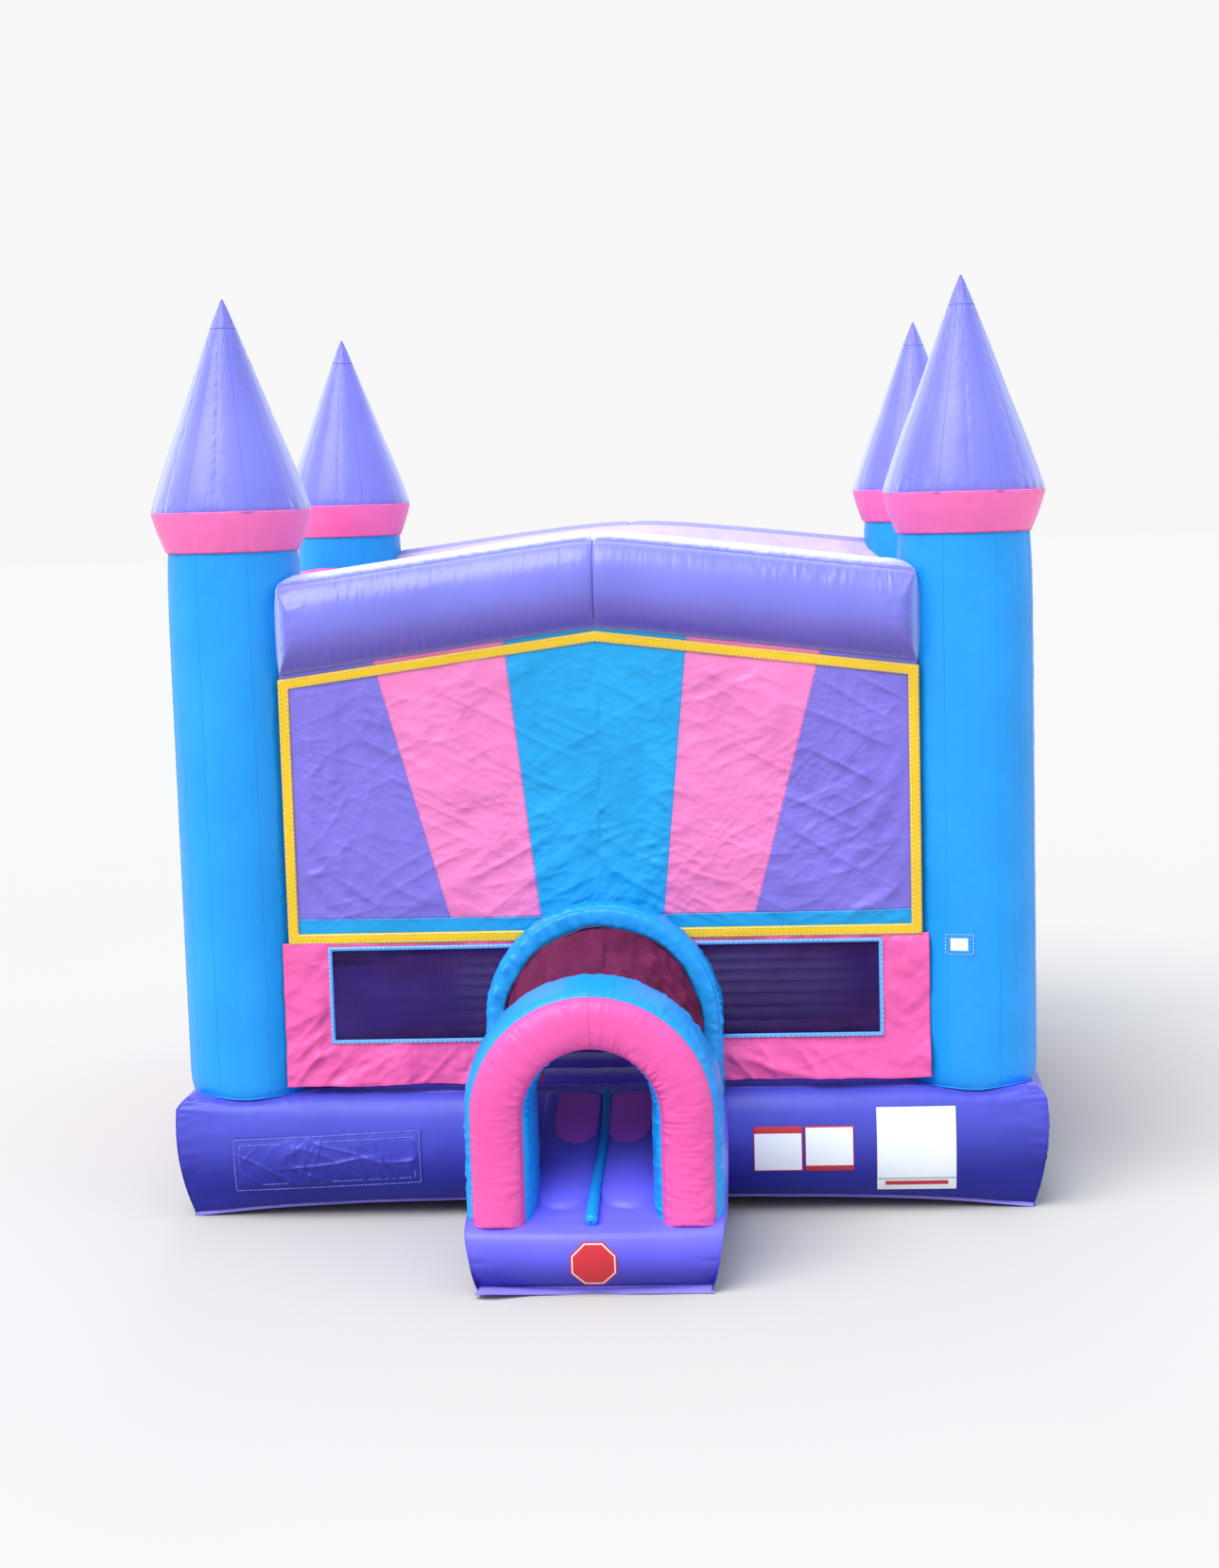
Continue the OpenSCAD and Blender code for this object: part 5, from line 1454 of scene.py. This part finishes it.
def inflation_sleeve():
    """The fabric sleeve from the base to the blower, gathered under its strap."""
    lo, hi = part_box("inflation_sleeve")
    centre = (lo + hi) / 2
    strap = middle("sleeve_strap").y
    neck = (high("blower_nozzle").z - low("blower_nozzle").z) / 2
    lip, cloth_gap = 0.008, 0.0022
    nozzle_r = neck - lip + cloth_gap
    big = (hi.x - lo.x) / 2 - 0.006
    start = BASE_HALF - 0.02
    y = np.linspace(start, hi.y, 90)
    f = np.clip((y - start) / (strap - start), 0, 1)
    r = nozzle_r + (big - nozzle_r) * (1 - np.clip((f - 0.55) / 0.42, 0, 1) ** 1.5)
    theta = full_turn(120)[:, None]
    gather = np.exp(-np.abs(y - strap)[None, :] / 0.12)
    pleat = 0.006 * gather * np.sin(22 * theta + 2 * noise(stack(theta, y[None, :] * 3, 0), 1.0, 3))
    pleat = pleat * (1 - np.exp(-np.abs(y - strap)[None, :] / 0.02)) + 0.001
    soft = noise(stack(theta * 0.15, y[None, :], 0), (0.1, 0.16, 1), 6) * (1 - gather)
    radius = r[None, :] + np.abs(pleat) + 0.006 * soft * np.clip((hi.y - y) / 0.1, 0, 1)[None, :]
    sag = -0.010 * np.sin(math.pi * f)[None, :]
    p = stack(centre.x + radius * np.cos(theta), y[None, :], centre.z + sag + radius * np.sin(theta))
    sleeve = piece("inflation_sleeve_skin", [surface(p, wrap_u=True)], [M["purple"]], "vinyl_purple",
                   ["inflation_sleeve"])
    thicken(sleeve)


def vent():
    """Teeth on the zipper and the cover that hangs over it."""
    lo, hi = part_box("vent_flap")
    x0, x1 = lo.x, hi.x
    hinge_z, hinge_y = hi.z - 0.004, (lo.y + hi.y) / 2
    root_z = hinge_z - 0.004
    u, v = mesh_grid(70, 22)
    x, z = x0 + (x1 - x0) * u, root_z - (root_z - lo.z) * v
    bow = 0.004 * v * ripple(x, 0.12, 7) + 0.003 * v**3
    cloth = surface(stack(x, hinge_y + 0.0015 + bow, z))
    flap = piece("vent_flap_cloth", [cloth], [M["purple"]], "vinyl_purple", ["vent_flap"], body="vent_flap")
    thicken(flap, 0.0025)
    roll = tube(stack(np.linspace(x0, x1, 30), hinge_y, hinge_z), 0.004, 10)
    piece("vent_flap_roll", [roll], [M["piping"]], "vinyl_purple", body="vent_flap")
    threads = []
    for inset in (0.010, 0.018):
        loop = upright_loop(rectangle(x0, x1, lo.z, hinge_z - 0.012, -inset), hinge_y + 0.0045)
        threads += stitch_parts(looped(loop), (0, 1, 0))
    piece("vent_flap_stitching", threads, [M["thread"]], "vinyl_purple", body="vent_flap")
    teeth = []
    teeth_y = low("vent_slider").y - 0.0012
    teeth_z = high("vent_slider").z - 0.008
    for i, x in enumerate(np.arange(low("vent_zipper").x + 0.024, high("vent_zipper").x - 0.022, 0.006)):
        side = 0.0022 if i % 2 else -0.0022
        teeth.append(box_part((x, teeth_y, teeth_z + side), (0.0019, 0, 0), (0, 0.0011, 0), (0, 0, 0.0028)))
    piece("zipper_teeth", teeth, [M["black"]], "zipper_tape", smooth=False)


def anchor_patches():
    """Reinforcing patches with crossed stitching behind each D-ring's webbing."""
    parts, threads = [], []
    for name in RINGS:
        ring = middle(name)
        sign = math.copysign(1, ring.x)
        u, v = mesh_grid(12, 14)
        y, z = ring.y + (2 * u - 1) * 0.065, 0.085 + 0.130 * v
        w = base_hw(z) + 0.006
        p = stack(sign * w, y, z)
        parts.append(surface(p, flip=sign < 0))
        rim = np.concatenate([p[1:-1, 1], p[-2, 1:-1], p[-2:0:-1, -2], p[1, -2:0:-1]])
        cross = [p[2, 2], p[-3, -3]], [p[2, -3], p[-3, 2]]
        for path in (rim, *cross):
            threads += stitch_parts(np.asarray(path) + [sign * 0.0015, 0, 0], (sign, 0, 0))
    piece("anchor_patch_cloth", parts, [M["hem"]], "webbing")
    piece("anchor_stitching", threads, [M["pale_thread"]], "webbing")


# ---- CAD nodes that keep their shape ----

def dress_cad_nodes():
    looks = {
        "steel": [*RINGS, "vent_slider", "blower_shaft", "blower_screws"],
        "webbing": ["anchor_tabs"],
        "strap": ["sleeve_strap"],
        "zipper": ["vent_zipper"],
        "blower": ["blower_shell_left", "blower_shell_right", "blower_nozzle"],
        "black": ["blower_intake_grille", "blower_motor_cover", "blower_handle", "blower_switch_box",
                  "blower_cord_gland"],
        "aluminium": ["blower_impeller"],
        "motor": ["blower_motor"],
        "rubber": ["blower_feet"],
        "switch": ["blower_rocker"],
    }
    for look, names in looks.items():
        for name in names:
            for material_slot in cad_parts[name].material_slots:
                material_slot.material = M[look]


# ---- camera, floor and light ----

def camera():
    """The photograph's eye: a little right of the middle, above head height, tilted down and rolled."""
    yaw, pitch, roll = 0.0599, 0.1186, -0.0287
    ahead = Vector((-math.sin(yaw) * math.cos(pitch), math.cos(yaw) * math.cos(pitch), -math.sin(pitch)))
    right = ahead.cross(Vector((0, 0, 1))).normalized()
    up = right.cross(ahead)
    right, up = (right * math.cos(roll) + up * math.sin(roll), up * math.cos(roll) - right * math.sin(roll))
    data = bpy.data.cameras.new("camera")
    data.lens, data.sensor_width, data.clip_end = 57.2, 36, 300
    obj = bpy.data.objects.new("camera", data)
    obj.matrix_world = Matrix((right, up, -ahead)).transposed().to_4x4()
    obj.location = (0.708, -12.907, 3.268)
    bpy.context.scene.collection.objects.link(obj)
    bpy.context.scene.camera = obj


def lamp(name, kind, place, energy, **settings):
    """A lamp at a place, aimed at the middle of the castle."""
    data = bpy.data.lights.new(name, kind)
    data.energy = energy
    for key, value in settings.items():
        setattr(data, key, value)
    obj = bpy.data.objects.new(name, data)
    obj.location = place
    obj.rotation_euler = (Vector(place) - Vector((0, 0, 1.8))).to_track_quat("Z", "Y").to_euler()
    obj.visible_camera = False
    bpy.context.scene.collection.objects.link(obj)


def stage():
    """A pale floor under a white horizon, a cool sky overhead, a broad sun and a soft box behind."""
    scene = bpy.context.scene
    scene.view_settings.view_transform = "Standard"
    world = bpy.data.worlds.new("world")
    world.use_nodes = True
    tree = world.node_tree
    coords = node(tree, "ShaderNodeTexCoord").outputs["Generated"]
    height = node(tree, "ShaderNodeSeparateXYZ", coords).outputs["Z"]
    ramp = node(tree, "ShaderNodeValToRGB", height)
    ramp.color_ramp.elements[0].position, ramp.color_ramp.elements[0].color = 0.22, (*HORIZON, 1)
    ramp.color_ramp.elements[1].position, ramp.color_ramp.elements[1].color = 0.75, (*ZENITH, 1)
    tree.links.new(ramp.outputs["Color"], tree.nodes["Background"].inputs["Color"])
    scene.world = world
    lamp("sun", "SUN", (-4.0, -5.0, 11.0), 2.9, angle=math.radians(45), color=(1.0, 0.97, 0.93))
    lamp("rim_box", "AREA", (-1.0, 10.0, 12.0), 50, size=7.0, shape="DISK", spread=math.radians(45))
    half = 120.0
    corners = [(-half, -half, 0), (half, -half, 0), (half, half, 0), (-half, half, 0)]
    mesh = bpy.data.meshes.new("floor")
    mesh.from_pydata(corners, [], [(0, 1, 2, 3)])
    matt = material("pale_floor", Base_Color=(*FLOOR_COLOUR, 1), Roughness=1.0, Specular_IOR_Level=0.0)[0]
    mesh.materials.append(matt)
    floor = bpy.data.objects.new("floor", mesh)
    floor.location.z = -0.001
    scene.collection.objects.link(floor)


camera()
stage()
dress_cad_nodes()
base_chamber()
bounce_floor()
for i, (tower_name, tower) in enumerate(TOWERS.items()):
    column(tower_name, tower, 300 + 11 * i)
    spire(tower_name, tower, 400 + 13 * i)
collars()
gabled_beam("beam_front", -1, "purple_beam", 101)
gabled_beam("beam_rear", 1, "purple_rear_painted_glare", 131)
side_beam("beam_left", -1, 151)
side_beam("beam_right", 1, 171)
ramp_chamber()
plum_patches()
divider()
entrance_arch()
doorway_arch()
banner_frame()
stitching = banner()
front_skirt()
windows()
for i, (wall_name, quarter) in enumerate((("wall_right", 1), ("wall_rear", 2), ("wall_left", 3))):
    netted_wall(wall_name, quarter, 70 + i)
roof_cover()
tunnel_net()
labels()
stitching += sign_pocket()
tag_pocket()
piece("panel_stitching", stitching, [M["thread"]], "vinyl_purple")
inflation_sleeve()
vent()
anchor_patches()

bpy.context.view_layer.update()
